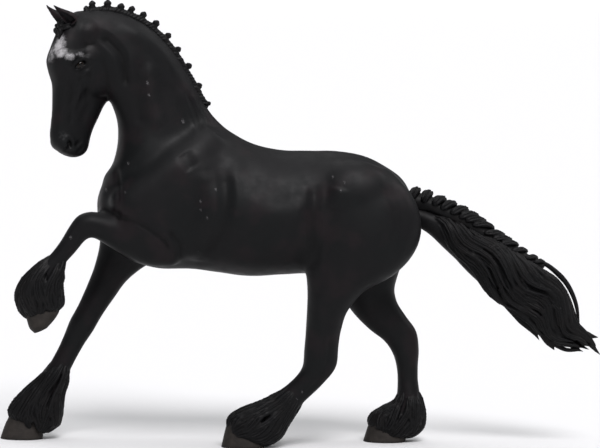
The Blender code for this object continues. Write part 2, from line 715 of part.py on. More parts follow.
def head_solids():
    made = [loft("head_form", HEAD)]
    for k, (centre, radii) in enumerate(HEAD_FORMS):
        for sign in (-1, 1):
            ahead, left, z = centre
            made.append(ball(f"head_form_{k}_{sign}", (ahead, sign * left, z), radii))
    return [place_on_head(obj) for obj in made]


def body_skin():
    solids = [loft("torso_form", TORSO), loft("neck_form", NECK)]
    for k, table in enumerate(
        (
            LEFT_SHOULDER,
            RIGHT_SHOULDER,
            LEFT_FOREARM,
            LEFT_FORE_PASTERN,
            RIGHT_FOREARM,
            RIGHT_FORE_PASTERN,
            LEFT_THIGH,
            LEFT_GASKIN,
            LEFT_HIND_PASTERN,
            RIGHT_THIGH,
            RIGHT_GASKIN,
            RIGHT_HIND_PASTERN,
        )
    ):
        solids.append(loft(f"limb_form_{k}", table, grow=SMOOTHING_LOSS))
    for leg, table in FEATHERS.items():
        solids.append(loft(f"{leg}_feather", table, grow=-FEATHER_DEPTH))
    skin = voxel_skin("skin", solids + head_solids() + muscles(), BODY_VOXEL, SKIN_SMOOTHING)
    return press(skin, STROKES)


def taken(rest, name, region):
    """The piece of the body inside a region, with the body left outside it. The region is removed."""
    piece = linked_copy(rest, name)
    boolean(piece, region, "INTERSECT")
    cut_clear(rest, region)
    removed(region)
    return piece


def foot_region(low, high, centre, angle):
    """The space round a foot, below a plane across the cannon."""
    space = box("space", low, high)
    above = slab("above", centre, angle, (60.0, 60.0, 60.0))
    boolean(space, above, "DIFFERENCE")
    removed(above)
    return space


# The feather of each foot as one form: sections from the cannon down, as the tables above
LEFT_FORE_FEATHER = [
    (-67.6, 53.0, -63.2, 50.6, 2.7, -8.1, 0.0, 2.1),
    (-71.6, 49.6, -64.5, 47.0, 3.3, -8.0, 0.0, 2.1),
    (-75.4, 45.8, -65.3, 44.4, 3.9, -8.0, 0.0, 2.1),
    (-77.3, 41.4, -65.2, 41.6, 4.2, -8.0, 0.0, 2.1),
    (-76.6, 37.4, -65.0, 38.9, 4.2, -8.0, 0.0, 2.1),
    (-74.9, 35.2, -66.6, 37.4, 3.6, -8.0, 0.0, 2.1),
]
RIGHT_FORE_FEATHER = [
    (-66.2, 23.6, -61.4, 21.4, 2.8, 7.3, 0.0, 2.1),
    (-70.0, 18.0, -62.9, 16.8, 3.5, 7.0, 0.0, 2.1),
    (-74.6, 13.6, -64.4, 12.0, 4.1, 7.0, 0.0, 2.1),
    (-78.2, 9.6, -65.0, 7.6, 4.6, 7.0, 0.0, 2.1),
    (-79.2, 6.8, -65.6, 4.4, 4.7, 7.0, 0.0, 2.1),
    (-77.0, 4.8, -67.8, 2.4, 4.2, 7.0, 0.0, 2.1),
]
LEFT_HIND_FEATHER = [
    (-2.0, 18.4, 3.0, 14.2, 2.9, -7.5, 0.0, 2.1),
    (-6.0, 14.8, -0.6, 9.8, 3.5, -7.0, 0.0, 2.1),
    (-10.6, 12.2, -3.2, 6.0, 4.1, -7.0, 0.0, 2.1),
    (-15.4, 10.4, -5.2, 2.8, 4.6, -7.0, 0.0, 2.1),
    (-18.8, 8.4, -8.4, 1.0, 4.7, -7.0, 0.0, 2.1),
    (-19.6, 6.2, -12.6, 1.4, 4.2, -7.0, 0.0, 2.1),
]
RIGHT_HIND_FEATHER = [
    (28.5, 15.4, 34.2, 15.6, 2.8, 7.3, 0.0, 2.1),
    (27.8, 11.4, 35.3, 11.8, 3.5, 7.0, 0.0, 2.1),
    (24.8, 9.4, 36.0, 8.2, 4.1, 7.0, 0.0, 2.1),
    (21.6, 7.4, 35.8, 4.8, 4.6, 7.0, 0.0, 2.1),
    (20.6, 5.2, 34.0, 2.4, 4.6, 7.0, 0.0, 2.1),
    (22.0, 3.6, 31.0, 1.4, 4.2, 7.0, 0.0, 2.1),
]
FEATHERS = {
    "foreleg_left": LEFT_FORE_FEATHER,
    "foreleg_right": RIGHT_FORE_FEATHER,
    "hindleg_left": LEFT_HIND_FEATHER,
    "hindleg_right": RIGHT_HIND_FEATHER,
}

FEATHER_DEPTH = 0.6
FEATHER_LOCKS = 9
FEATHER_LOCK_WIDTH = 3.9
FEATHER_LOCK_THICKNESS = 1.15

# Feet: box round the foot (low, high), and the plane across the cannon (centre, angle)
FEET = {
    "foreleg_left": ((-86, -20, 27), (-58, -1, 58), (-65.8, -8.0, 51.4), 52.0),
    "foreleg_right": ((-90, 0, -4), (-60, 20, 30), (-64.2, 7.0, 21.4), 26.0),
    "hindleg_left": ((-30, -20, -4), (6, 0, 24), (-0.6, -7.0, 15.2), 48.0),
    "hindleg_right": ((14, 0, -4), (42, 20, 24), (31.3, 7.0, 15.0), -2.0),
}


def cut_fetlocks(skin):
    pieces = {}
    for leg, (low, high, centre, angle) in FEET.items():
        pieces[leg] = taken(skin, leg.replace("leg", "_fetlock"), foot_region(low, high, centre, angle))
    return pieces


def feathered(leg, fetlock, draw):
    """The fetlock with the locks of its feather, long at the back and short in front."""
    rows = smooth_rows(FEATHERS[leg], SPAN_STEPS)
    locks = []
    for k in range(FEATHER_LOCKS):
        angle = 2 * math.pi * (k + 0.5) / FEATHER_LOCKS
        behind = 0.5 - 0.5 * math.cos(angle)
        locks.append(
            lock(
                f"lock_{k}",
                rows,
                angle + draw.uniform(-0.08, 0.08),
                0.16 + 0.08 * (k % 2) + draw.uniform(-0.02, 0.02),
                0.92 + 0.12 * behind + draw.uniform(-0.04, 0.05),
                FEATHER_LOCK_WIDTH * draw.uniform(0.9, 1.1),
                FEATHER_LOCK_THICKNESS,
                rise=0.25 + 0.3 * behind,
                wave=0.08,
                phase=draw.uniform(0, 6),
            )
        )
    floor = box("floor", (-100, -60, -20), (100, 60, FLOOR_CLEARANCE))
    made = fused(fetlock.name, [fetlock] + locks)
    boolean(made, floor, "DIFFERENCE")
    removed(floor)
    return made


def leg_region(tables, side):
    """The shape of a whole leg, grown, on its own side of the middle."""
    lofts = []
    for k, table in enumerate(tables):
        lofts.append(loft(f"region_{k}", table, sides=CUTTER_SIDES, steps=CUTTER_STEPS, grow=LEG_MARGIN))
    shape = fused("region", lofts)
    if side == "left":
        beyond = box("beyond", (-100, -GAP / 2, -10), (60, 60, 100))
    else:
        beyond = box("beyond", (-100, -60, -10), (60, GAP / 2, 100))
    boolean(shape, beyond, "DIFFERENCE")
    removed(beyond)
    return shape


LEGS = {
    "foreleg_left": ("left", [LEFT_FOREARM]),
    "foreleg_right": ("right", [RIGHT_FOREARM]),
    "hindleg_left": ("left", [LEFT_THIGH[2:], LEFT_GASKIN]),
    "hindleg_right": ("right", [RIGHT_THIGH[2:], RIGHT_GASKIN]),
}
LEG_MARGIN = 0.9


def cut_legs(skin):
    return {leg: taken(skin, leg, leg_region(tables, side)) for leg, (side, tables) in LEGS.items()}


NECK_BASE = (-39.0, 0.0, 81.0)
NECK_BASE_ANGLE = -30.6


def cut_head_and_neck(skin):
    region = loft("region", HEAD, sides=CUTTER_SIDES, steps=CUTTER_STEPS, grow=LEG_MARGIN)
    head = taken(skin, "head", place_on_head(region))
    neck = taken(skin, "neck", slab("region", NECK_BASE, NECK_BASE_ANGLE, (80.0, 60.0, 60.0)))
    return head, neck


EAR = [
    (0.0, 1.35, 0.0, -1.3, 1.45, 0.0, 0.0, 2.0),
    (1.7, 1.7, 1.7, -1.5, 1.75, 0.0, 0.0, 2.0),
    (3.8, 1.45, 3.8, -1.3, 1.5, 0.0, 0.0, 2.0),
    (5.6, 0.85, 5.6, -0.75, 0.85, 0.0, 0.0, 2.0),
    (7.2, 0.3, 7.2, 0.1, 0.15, 0.0, 0.0, 2.0),
]
# Ears on the straight head: where the left one stands, as ahead, left, z, and the way that it points
EAR_ROOT = (4.3, 3.1, 115.9)
EAR_LEAN = (0.81, -0.17, 0.56)
EAR_OPENING = math.radians(38)


def ear_placement(name, gap):
    """The turn and place of an ear on the straight head, with its base raised by gap."""
    sign = 1 if name == "ear_left" else -1
    lean = Vector((EAR_LEAN[0], sign * EAR_LEAN[1], EAR_LEAN[2])).normalized()
    back = lean.cross(Vector((0, 1, 0))).normalized()
    back = back * math.cos(EAR_OPENING) - Vector((0, sign, 0)) * math.sin(EAR_OPENING)
    across = back.cross(lean).normalized()
    back = lean.cross(across)
    turn = Matrix((lean, across, back)).transposed().to_4x4()
    root = Vector((EAR_ROOT[0], sign * EAR_ROOT[1], EAR_ROOT[2]))
    return Matrix.Translation(root + lean * gap) @ turn


def ear(name):
    """A leaf-shaped ear with a cup that opens forwards and out."""
    shape = loft(name, EAR, sides=12, steps=2)
    cup = ball("cup", (3.9, 0.0, -1.25), (2.7, 1.0, 1.35), segments=12, rings=7)
    boolean(shape, cup, "DIFFERENCE")
    removed(cup)
    place = ear_placement(name, GAP)
    shape.data.transform(Matrix.Scale(1 / MM, 4))
    shape.data.transform(Matrix.Scale(MM, 4) @ place)
    return place_on_head(shape)


def ear_seat(name):
    """The space over an ear's root, which makes the flat that the ear stands on."""
    bm = bmesh.new()
    bmesh.ops.create_cube(bm, size=1.0)
    bm.transform(Matrix.Diagonal((6.0, 4.4, 4.4, 1.0)) @ Matrix.Translation((0.5, 0, 0)))
    bm.transform(ear_placement(name, 0.0))
    return place_on_head(mesh_object("seat", bm))


def fit_head(head):
    """Cuts the eye sockets and the ear seats, and makes the eyes and ears."""
    made = {}
    for side, sign in (("left", 1), ("right", -1)):
        ahead, left, z = EYE_CENTRE
        centre = tuple(turn_head((ahead, sign * left, z)))
        eye = ball(f"eye_{side}", centre, (EYE_RADIUS,) * 3, segments=12, rings=7)
        cut_clear(head, eye)
        made[f"eye_{side}"] = eye
        ahead, left, z = NOSTRIL
        centre = tuple(turn_head((ahead, sign * left, z)))
        nostril = ball("nostril", centre, NOSTRIL_RADII, (0.0, NOSTRIL_PITCH, 0.0), segments=10, rings=6)
        boolean(head, nostril, "DIFFERENCE")
        removed(nostril)
    for name in ("ear_left", "ear_right"):
        seat = ear_seat(name)
        boolean(head, seat, "DIFFERENCE")
        removed(seat)
        made[name] = ear(name)
    return made


# Crest line that the mane's roll lies on, as x, y, z
CREST = [
    (-59.4, -3.8, 118.5),
    (-57.0, -3.7, 118.9),
    (-53.5, -3.3, 119.2),
    (-50.0, -2.9, 118.7),
    (-46.1, -2.5, 117.3),
    (-42.8, -2.0, 115.5),
    (-39.8, -1.7, 113.1),
    (-37.0, -1.3, 110.3),
    (-34.1, -0.9, 106.5),
    (-31.6, -0.6, 102.4),
    (-29.5, -0.4, 99.0),
    (-27.5, -0.2, 95.4),
    (-26.0, 0.0, 92.8),
]
MANE_ROLL = 1.5
MANE_STATIONS = 18
PLAITS = 12
PLAIT_RADIUS = 1.05
PLAIT_RISE = 1.55
FIRST_PLAIT = 0.03
LAST_PLAIT = 0.985


def tube(name, line, radii, sides=12, squash=1.0):
    """A closed tube along a line, whose radius runs through radii. Squash narrows it along Y."""
    line = np.array(line, float)
    along = np.gradient(line, axis=0)
    along /= np.linalg.norm(along, axis=1)[:, None]
    bm = bmesh.new()
    rings = []
    for point, way, radius in zip(line, along, radii):
        across = np.cross(way, (0.0, 1.0, 0.0))
        across /= np.linalg.norm(across)
        other = np.cross(across, way)
        made = []
        for k in range(sides):
            angle = 2 * math.pi * k / sides
            offset = across * math.cos(angle) * radius + other * math.sin(angle) * radius * squash
            made.append(bm.verts.new(point + offset))
        rings.append(made)
    for lower, upper in zip(rings, rings[1:]):
        for k in range(sides):
            j = (k + 1) % sides
            bm.faces.new((lower[k], lower[j], upper[j], upper[k]))
    bm.faces.new(rings[0])
    bm.faces.new(rings[-1])
    return mesh_object(name, bm)


def line_points(line, shares):
    """Points at shares of the length of a line of straight runs."""
    line = np.array(line, float)
    runs = np.concatenate([[0.0], np.cumsum(np.linalg.norm(np.diff(line, axis=0), axis=1))])
    runs /= runs[-1]
    return np.stack([np.interp(shares, runs, line[:, k]) for k in range(3)], axis=1)


def mane_roll(name):
    shares = np.linspace(0, 1, MANE_STATIONS)
    line = line_points(smooth_line(CREST, 4), shares)
    radii = MANE_ROLL * np.clip(0.55 + 12 * np.minimum(shares, 1 - shares), 0, 1)
    return tube(name, line, radii, sides=8, squash=1.1)


def mane():
    """The roll of plaited hair along the crest, with a button plait standing on it at each tie."""
    roll = mane_roll("mane")
    shares = np.linspace(FIRST_PLAIT, LAST_PLAIT, PLAITS)
    line = smooth_line(CREST, 8)
    centres = line_points(line, shares)
    ahead = line_points(line, np.clip(shares + 0.01, 0, 1)) - line_points(line, np.clip(shares - 0.01, 0, 1))
    buttons = []
    for k, (centre, way) in enumerate(zip(centres, ahead)):
        up = np.cross(way, (0.0, 1.0, 0.0))
        up /= np.linalg.norm(up)
        size = PLAIT_RADIUS * (1 + 0.08 * math.sin(2.3 * k))
        buttons.append(
            ball(f"plait_{k}", centre + up * PLAIT_RISE, (size, size * 1.15, size), segments=7, rings=5)
        )
    return fused("mane", [roll] + buttons)


# Forelock on the straight head: ahead, left, z
FORELOCK = [(3.8, 0.0, 117.0), (5.6, 0.0, 116.0), (6.8, 0.2, 113.6), (7.6, 0.2, 111.2)]


FORELOCK_STRANDS = 3


def forelock_form(name):
    """The forelock: a clump that narrows downwards, with the strands that it is twisted from."""
    shares = np.linspace(0, 1, 9)
    line = line_points(smooth_line(FORELOCK, 4), shares)
    radii = np.interp(shares, [0, 0.4, 0.8, 1], [0.8, 1.15, 1.05, 0.6])
    pieces = [tube("clump", line, radii, sides=8, squash=1.1)]
    for k in range(FORELOCK_STRANDS):
        share = 0.3 + 0.28 * k
        centre = line_points(line, [share])[0] + np.array([0.35, 0.7 * (-1) ** k, 0.1])
        pieces.append(ball(f"strand_{k}", centre, (0.85, 1.0, 1.15), (0.5 * (-1) ** k, 0.0, 0.0), segments=7, rings=5))
    return place_on_head(fused(name, pieces))


HOOVES = {
    "foreleg_left": LEFT_FORE_HOOF,
    "foreleg_right": RIGHT_FORE_HOOF,
    "hindleg_left": LEFT_HIND_HOOF,
    "hindleg_right": RIGHT_HIND_HOOF,
}


# Tail sections: the dock with its plait, and the hair that hangs from it
DOCK = [
    (27.0, 71.8, 28.0, 64.8, 3.2, 0.0, 0.0, 2.0),
    (31.5, 70.9, 32.4, 63.6, 3.6, 0.0, 0.0, 2.0),
    (35.4, 70.0, 35.6, 63.4, 4.2, 0.0, 0.0, 2.0),
    (40.5, 67.9, 39.0, 61.4, 4.2, 0.0, 0.0, 2.0),
    (47.0, 64.9, 44.8, 58.6, 4.0, 0.0, 0.0, 2.0),
    (55.5, 59.2, 52.4, 53.8, 3.6, 0.0, 0.0, 2.0),
    (63.0, 54.4, 60.2, 49.8, 2.9, 0.0, 0.0, 2.0),
    (68.6, 51.0, 67.0, 48.4, 1.5, 0.0, 0.0, 2.0),
]
TAIL_HAIR = [
    (33.6, 63.6, 33.4, 60.4, 2.6, 0.0, 0.0, 2.0),
    (37.0, 64.0, 36.6, 58.0, 4.0, 0.0, 0.0, 2.0),
    (44.0, 62.6, 40.4, 54.2, 5.0, 0.0, 0.0, 2.1),
    (52.0, 58.6, 47.0, 47.6, 5.6, 0.0, 0.0, 2.1),
    (61.0, 53.4, 54.0, 41.6, 5.8, 0.0, 0.0, 2.1),
    (71.2, 48.4, 61.0, 36.0, 5.2, 0.0, 0.0, 2.1),
    (76.4, 41.2, 66.6, 32.0, 4.2, 0.0, 0.0, 2.1),
    (79.0, 34.6, 71.6, 28.8, 3.0, 0.0, 0.0, 2.1),
    (81.8, 30.2, 77.4, 27.4, 1.4, 0.0, 0.0, 2.0),
]


BRAID_STRANDS = 11
BRAID_STRAND_WIDTH = 3.0
BRAID_STRAND_THICKNESS = 1.3
TAIL_TIERS = ((0.06, 0.55, 6), (0.26, 0.82, 6), (0.48, 0.97, 7))
TAIL_LOCK_WIDTH = 5.0
TAIL_LOCK_THICKNESS = 1.5
TAIL_HAIR_DEPTH = 0.8


def tail_dock(name, grow=0.0):
    """The dock, with the strands that feed the plait along its top from both sides, moved out by grow."""
    rows = smooth_rows(DOCK, 4)
    core = loft("dock", DOCK, sides=10, steps=2)
    core.data.vertices.foreach_set("co", moved_out(core.data, grow))
    strands = []
    for k in range(BRAID_STRANDS):
        centre = 0.2 + 0.76 * k / (BRAID_STRANDS - 1)
        for sign in (-1, 1):
            strands.append(
                lock(
                    f"strand_{k}_{sign}",
                    rows,
                    sign * 1.25,
                    centre - 0.075,
                    centre + 0.012 * sign,
                    BRAID_STRAND_WIDTH,
                    BRAID_STRAND_THICKNESS,
                    turn=-sign * 1.1,
                    shape=STRAND,
                    grow=1.4 * grow,
                )
            )
    return fused(name, [core] + strands)


def tail_hair(draw):
    """The loose hair of the tail, in tiers of wavy locks over a slimmer core."""
    rows = smooth_rows(TAIL_HAIR, 4)
    locks = []
    for tier, (start, end, count) in enumerate(TAIL_TIERS):
        for k in range(count):
            angle = 2 * math.pi * (k + 0.5 * (tier % 2)) / count + draw.uniform(-0.1, 0.1)
            below = 0.5 - 0.5 * math.cos(angle)
            locks.append(
                lock(
                    f"lock_{tier}_{k}",
                    rows,
                    angle,
                    start + draw.uniform(-0.03, 0.03),
                    end - 0.1 * below * tier + draw.uniform(-0.05, 0.03),
                    TAIL_LOCK_WIDTH * draw.uniform(0.85, 1.15),
                    TAIL_LOCK_THICKNESS,
                    rise=draw.uniform(0.0, 0.6) + 0.6 * below * tier,
                    turn=draw.uniform(-0.25, 0.25),
                    wave=0.12,
                    phase=draw.uniform(0, 6),
                )
            )
    core = loft("core", TAIL_HAIR, sides=12, steps=2, grow=-TAIL_HAIR_DEPTH)
    return fused("tail_hair", [core] + locks)


def material(name, colour, roughness):
    made = bpy.data.materials.new(name)
    made.use_nodes = True
    shader = made.node_tree.nodes["Principled BSDF"]
    shader.inputs["Base Color"].default_value = (*colour, 1.0)
    shader.inputs["Roughness"].default_value = roughness
    shader.inputs["Metallic"].default_value = 0.0
    made.diffuse_color = (*colour, 1.0)
    return made


def main():
    clear_scene()
    skin = reduced(body_skin(), BODY_TRIANGLES)
    nodes = {}

    fetlocks = cut_fetlocks(skin)
    legs = cut_legs(skin)
    head, neck = cut_head_and_neck(skin)
    torso = skin
    torso.name = "torso"

    nodes.update(fit_head(head))
    nodes.update(head=head, neck=neck, torso=torso, **legs)

    nodes["mane"] = mane()
    cut_clear(neck, nodes["mane"])
    cut_clear(head, nodes["mane"])

    nodes["forelock"] = forelock_form("forelock")
    for name in ("head", "ear_left", "ear_right"):
        cut_clear(nodes[name], nodes["forelock"])

    draw = random.Random(SEED)
    for leg, table in HOOVES.items():
        end = leg.replace("leg", "")
        hoof = loft(f"{end}_hoof", table, sides=18, steps=2)
        fetlock = feathered(leg, fetlocks[leg], draw)
        cut_clear(fetlock, hoof, legs[leg])
        nodes[f"{end}_hoof"] = hoof
        nodes[f"{end}_fetlock"] = fetlock

    dock = tail_dock("tail_dock")
    hair = tail_hair(draw)
    space = tail_dock("space", grow=CLEARANCE)
    for obj in (torso, hair):
        boolean(obj, space, "DIFFERENCE")
    removed(space)
    cut_clear(hair, torso)
    nodes["tail_dock"] = dock
    nodes["tail_hair"] = hair

    collection = bpy.data.collections.new(HORSE_COLLECTION)
    bpy.context.scene.collection.children.link(collection)
    coat = material("black_coat", (0.012, 0.012, 0.013), 0.45)
    hair_finish = material("black_hair", (0.008, 0.008, 0.009), 0.5)
    hoof_finish = material("dark_hoof", (0.045, 0.038, 0.034), 0.6)
    eye_finish = material("dark_eye", (0.01, 0.008, 0.007), 0.12)
    for name, obj in nodes.items():
        obj.name = name
        finish = coat
        if "hoof" in name:
            finish = hoof_finish
        elif "eye" in name:
            finish = eye_finish
        elif name in ("mane", "forelock", "tail_dock", "tail_hair"):
            finish = hair_finish
        obj.data.materials.clear()
        obj.data.materials.append(finish)
        for owner in list(obj.users_collection):
            owner.objects.unlink(obj)
        collection.objects.link(obj)
        obj.data.shade_smooth()


main()
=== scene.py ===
"""Looks for the toy horse figure: one fine skin, with eyes, ears, hooves and the modelled hair as pieces.

The horse faces -X, its left side is at -Y, and the floor is Z = 0. Lengths in the tables are millimetres.
"""

import math
import random

import bmesh
import bpy
import numpy as np
from mathutils import Euler, Matrix, Vector


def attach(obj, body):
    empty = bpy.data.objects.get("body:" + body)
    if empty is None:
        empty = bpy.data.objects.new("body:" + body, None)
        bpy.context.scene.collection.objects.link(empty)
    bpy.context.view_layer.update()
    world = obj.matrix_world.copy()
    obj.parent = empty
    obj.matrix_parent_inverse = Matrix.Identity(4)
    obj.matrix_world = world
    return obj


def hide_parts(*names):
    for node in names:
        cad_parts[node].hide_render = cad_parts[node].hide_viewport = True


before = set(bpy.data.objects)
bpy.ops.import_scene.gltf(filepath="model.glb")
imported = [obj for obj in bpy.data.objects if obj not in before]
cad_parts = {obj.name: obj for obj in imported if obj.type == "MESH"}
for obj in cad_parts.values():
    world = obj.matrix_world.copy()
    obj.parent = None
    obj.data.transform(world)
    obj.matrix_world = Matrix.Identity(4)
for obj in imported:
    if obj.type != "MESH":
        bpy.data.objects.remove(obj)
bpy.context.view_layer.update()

MM = 0.001

# Driving sizes of the figure
HEAD_YAW = math.radians(32)
POLL = (-61.0, -4.0)
# The left eye: the middle of its opening, the way it looks, the line to its rear corner, the eyeball's size
EYE_MIDDLE = (3.15, 5.3, 103.9)
EYE_GAZE = (0.32, 0.94, 0.04)
EYE_LINE = (-3.5, 0.9, 2.6)
EYE_RADII = (2.0, 1.35, 1.35)
EYE_DEPTH = 1.0
NOSTRIL = (4.8, 3.6, 82.2)
NOSTRIL_RADII = (0.85, 1.5, 1.35)
NOSTRIL_PITCH = 0.35

# Sizes of the fine mesh
SKIN_VOXEL = 0.34
SKIN_SMOOTHING = 5
LID_SMOOTHING = 1
SMOOTHING_FACTOR = 0.5
SMOOTHING_LOSS = 0.15
SKIN_TRIANGLES = 195000
HAIR_VOXEL = 0.19
HAIR_SMOOTHING = 1
MANE_VOXEL = 0.15
EAR_VOXEL = 0.14
EAR_SMOOTHING = 3
EAR_SIDES = 32
EAR_STEPS = 6
RING_SIDES = 40
SPAN_STEPS = 8
SLIMMEST = 0.35
LOCK_STATIONS = 15
LOCK_SIDES = 20
SEED = 11


# Sections: top (or front) x, z; bottom (or rear) x, z; half width; centre y; egg; power.
# Egg above 0 makes a section wider at its first point, and below 0 at its second.
TORSO = [
    (30.4, 70, 31, 62, 3, 0, 0, 2),
    (28, 73.8, 29.5, 55, 8, 0, 0, 2.2),
    (23.5, 77, 25, 50.5, 11.5, 0, 0.05, 2.3),
    (17.5, 79.9, 18, 47.5, 14, 0, 0.05, 2.3),
    (10, 81.2, 10, 46.5, 15.3, 0, 0, 2.2),
    (2, 81.2, 2.2, 47.3, 15.8, 0, -0.08, 2.1),
    (-6, 81.3, -6, 46.9, 17, 0, -0.12, 2.1),
    (-14, 83.2, -14, 46.4, 17.2, 0, -0.14, 2.1),
    (-21.5, 87, -22, 47.3, 16.4, 0, -0.2, 2.1),
    (-29, 89, -30, 48.2, 14.6, 0, -0.22, 2.1),
    (-38, 86, -38.5, 48.2, 13.4, 0, -0.18, 2.2),
    (-46, 80, -46, 50.2, 12.2, 0, -0.1, 2.3),
    (-51.5, 74.5, -51, 54, 10.4, 0, 0, 2.3),
    (-54.6, 70.5, -54.2, 58, 7.4, 0, 0, 2.2),
    (-55.8, 67, -55.6, 62, 3, 0, 0, 2),
]
NECK = [
    (-15, 82.5, -42, 56, 11, 0, -0.2, 2),
    (-21, 87.2, -50, 63.5, 11.6, 0, -0.28, 2),
    (-25.2, 91.6, -54.4, 71.6, 10.8, 0, -0.3, 2),
    (-28.6, 97.5, -51.8, 76.5, 9.4, -0.2, -0.3, 2),
    (-32, 103.2, -50.5, 82, 8.2, -0.6, -0.3, 2),
    (-36.4, 109.3, -50.5, 87.5, 7.2, -1.3, -0.28, 2),
    (-42.2, 114.7, -51.8, 92, 6.4, -2.2, -0.25, 2),
    (-49, 118, -54.2, 96.5, 5.7, -3, -0.2, 2),
    (-56, 119, -57.5, 101.5, 5, -3.6, -0.1, 2),
    (-61.6, 118.3, -61, 106, 3.8, -4, 0, 2),
]
# The head is drawn facing straight ahead, in distances ahead of the poll, and is turned after.
HEAD = [
    (0.8, 118.4, -3.3, 111.5, 3.2, 0, 0, 2),
    (4.7, 116.6, -7, 108.6, 4.5, 0, 0, 2.2),
    (6.7, 112.6, -9.6, 105, 5.1, 0, 0, 2.5),
    (8.4, 108.6, -11.2, 101, 5.4, 0, 0, 2.7),
    (9.6, 105.2, -10.7, 97.5, 5.3, 0, 0, 2.8),
    (9.2, 102.3, -8.7, 94.5, 4.8, 0, 0, 2.7),
    (8, 98.5, -7, 92, 4.2, 0, 0, 2.6),
    (8, 94, -5.9, 89.4, 3.7, 0, 0, 2.6),
    (8.4, 90, -4.8, 87.2, 3.4, 0, 0, 2.5),
    (8.9, 86.4, -3.9, 85.3, 3.3, 0, 0, 2.5),
    (8.9, 84, -3.1, 82.6, 3.5, 0, 0, 2.4),
    (7.7, 81.4, -2.5, 80.2, 3.5, 0, 0, 2.3),
    (5.3, 79.6, -0.4, 78.8, 3, 0, 0, 2.2),
    (3.2, 78.6, 1.2, 78.4, 1.5, 0, 0, 2),
]
LEFT_SHOULDER = [
    (-27, 88.5, -19.5, 83, 3.5, -5, 0, 2),
    (-36, 82.5, -20, 73, 5.4, -8.4, 0, 2.2),
    (-46, 75, -23.5, 63, 6, -9.4, 0, 2.3),
    (-52.5, 68, -29, 55.5, 6.2, -9.8, 0, 2.3),
    (-50.5, 63, -34.5, 50, 5.4, -9.8, 0, 2.1),
]
LEFT_FOREARM = [
    (-43, 63.8, -34.6, 49.6, 5.2, -9.6, 0, 2.1),
    (-48, 63.6, -42, 49.8, 5.2, -9.8, 0, 2.1),
    (-53, 63.5, -49, 52.8, 4.5, -9.6, 0, 2.1),
    (-57.2, 64.2, -54.8, 56.2, 3.8, -9.2, 0, 2.2),
    (-60.8, 63.2, -57.4, 57.4, 3.6, -8.9, 0, 2.4),
    (-63.4, 59.8, -59.2, 56.2, 3.4, -8.6, 0, 2.4),
    (-65.6, 56, -61.6, 52.9, 2.9, -8.4, 0, 2.2),
    (-68, 52.8, -64.3, 49.8, 2.7, -8.2, 0, 2.1),
    (-71.4, 49.2, -66.6, 45.8, 3, -8, 0, 2.1),
]
LEFT_FORE_PASTERN = [
    (-69, 51.6, -65, 48.8, 2.6, -8.2, 0, 2.1),
    (-71.6, 49, -66.4, 45.8, 3, -8, 0, 2.1),
    (-74, 45.2, -67.4, 43, 3, -8, 0, 2.1),
    (-74.6, 41, -67.2, 40.4, 3, -8, 0, 2.1),
    (-74.6, 37, -66.2, 38.6, 3.3, -8, 0, 2.1),
]
LEFT_FORE_HOOF = [
    (-74.9, 36.6, -65.6, 38.3, 3.6, -8, 0, 2.2),
    (-74.4, 34.2, -65.8, 36.6, 4, -8, 0, 2.2),
    (-73.7, 32.2, -67, 34.6, 4.1, -8, 0, 2.2),
    (-72.4, 30.9, -68.8, 32.5, 3.2, -8, 0, 2.1),
]
RIGHT_SHOULDER = [
    (-27, 88.5, -19.5, 83, 3.5, 5, 0, 2),
    (-37, 82.5, -21, 72.5, 5.4, 8.2, 0, 2.2),
    (-48, 75.5, -25, 62, 6, 9.2, 0, 2.3),
    (-55.2, 68, -33, 53.5, 6, 9.4, 0, 2.3),
    (-55.2, 60, -39.5, 48.5, 5.4, 9.2, 0, 2.1),
]
RIGHT_FOREARM = [
    (-55, 60, -38.5, 50, 5.2, 9.2, 0, 2.1),
    (-54.8, 54, -43.4, 47.2, 5, 9, 0, 2.1),
    (-56, 48.6, -47.6, 43.6, 4.4, 8.7, 0, 2.1),
    (-58.1, 42.4, -51.2, 38.6, 3.8, 8.4, 0, 2.1),
    (-60.4, 37, -53.9, 34.6, 3.6, 8.1, 0, 2.3),
    (-62.6, 32.8, -56.4, 30.2, 3.5, 7.9, 0, 2.4),
    (-64.2, 28.6, -58.9, 26.3, 2.9, 7.7, 0, 2.2),
    (-66.2, 24.2, -61.4, 21.8, 2.7, 7.4, 0, 2.1),
    (-69, 19.2, -63.6, 17, 2.8, 7.2, 0, 2.1),
    (-71.8, 15.6, -65.6, 12, 3.1, 7, 0, 2.1),
]
RIGHT_FORE_PASTERN = [
    (-68.2, 20.6, -63.4, 18.2, 2.7, 7.2, 0, 2.1),
    (-71.6, 16, -65.4, 12.4, 3.1, 7, 0, 2.1),
    (-75.4, 11.6, -68.6, 7.8, 3, 7, 0, 2.1),
    (-78.4, 7.2, -70.2, 4.6, 3.4, 7, 0, 2.1),
]
RIGHT_FORE_HOOF = [
    (-78.9, 6.9, -70, 4.2, 3.7, 7, 0, 2.2),
    (-80.4, 3.6, -69.8, 2, 4.1, 7, 0, 2.2),
    (-81.6, 0, -69.8, 0, 4.5, 7, 0, 2.2),
]
LEFT_THIGH = [
    (3.5, 78.5, 23.5, 77, 5, -5.5, 0, 2.1),
    (1.5, 70.5, 30.2, 69.5, 7.4, -7.8, 0, 2.2),
    (0.8, 62.5, 32.6, 61.5, 8.2, -8.7, 0, 2.2),
    (0.6, 55.5, 31, 54.5, 8.2, -9.2, 0, 2.2),
    (1.2, 49, 25.5, 48.2, 7.2, -9.6, 0, 2.1),
    (1.8, 43, 17.6, 43.8, 5.9, -9.6, 0, 2.1),
]
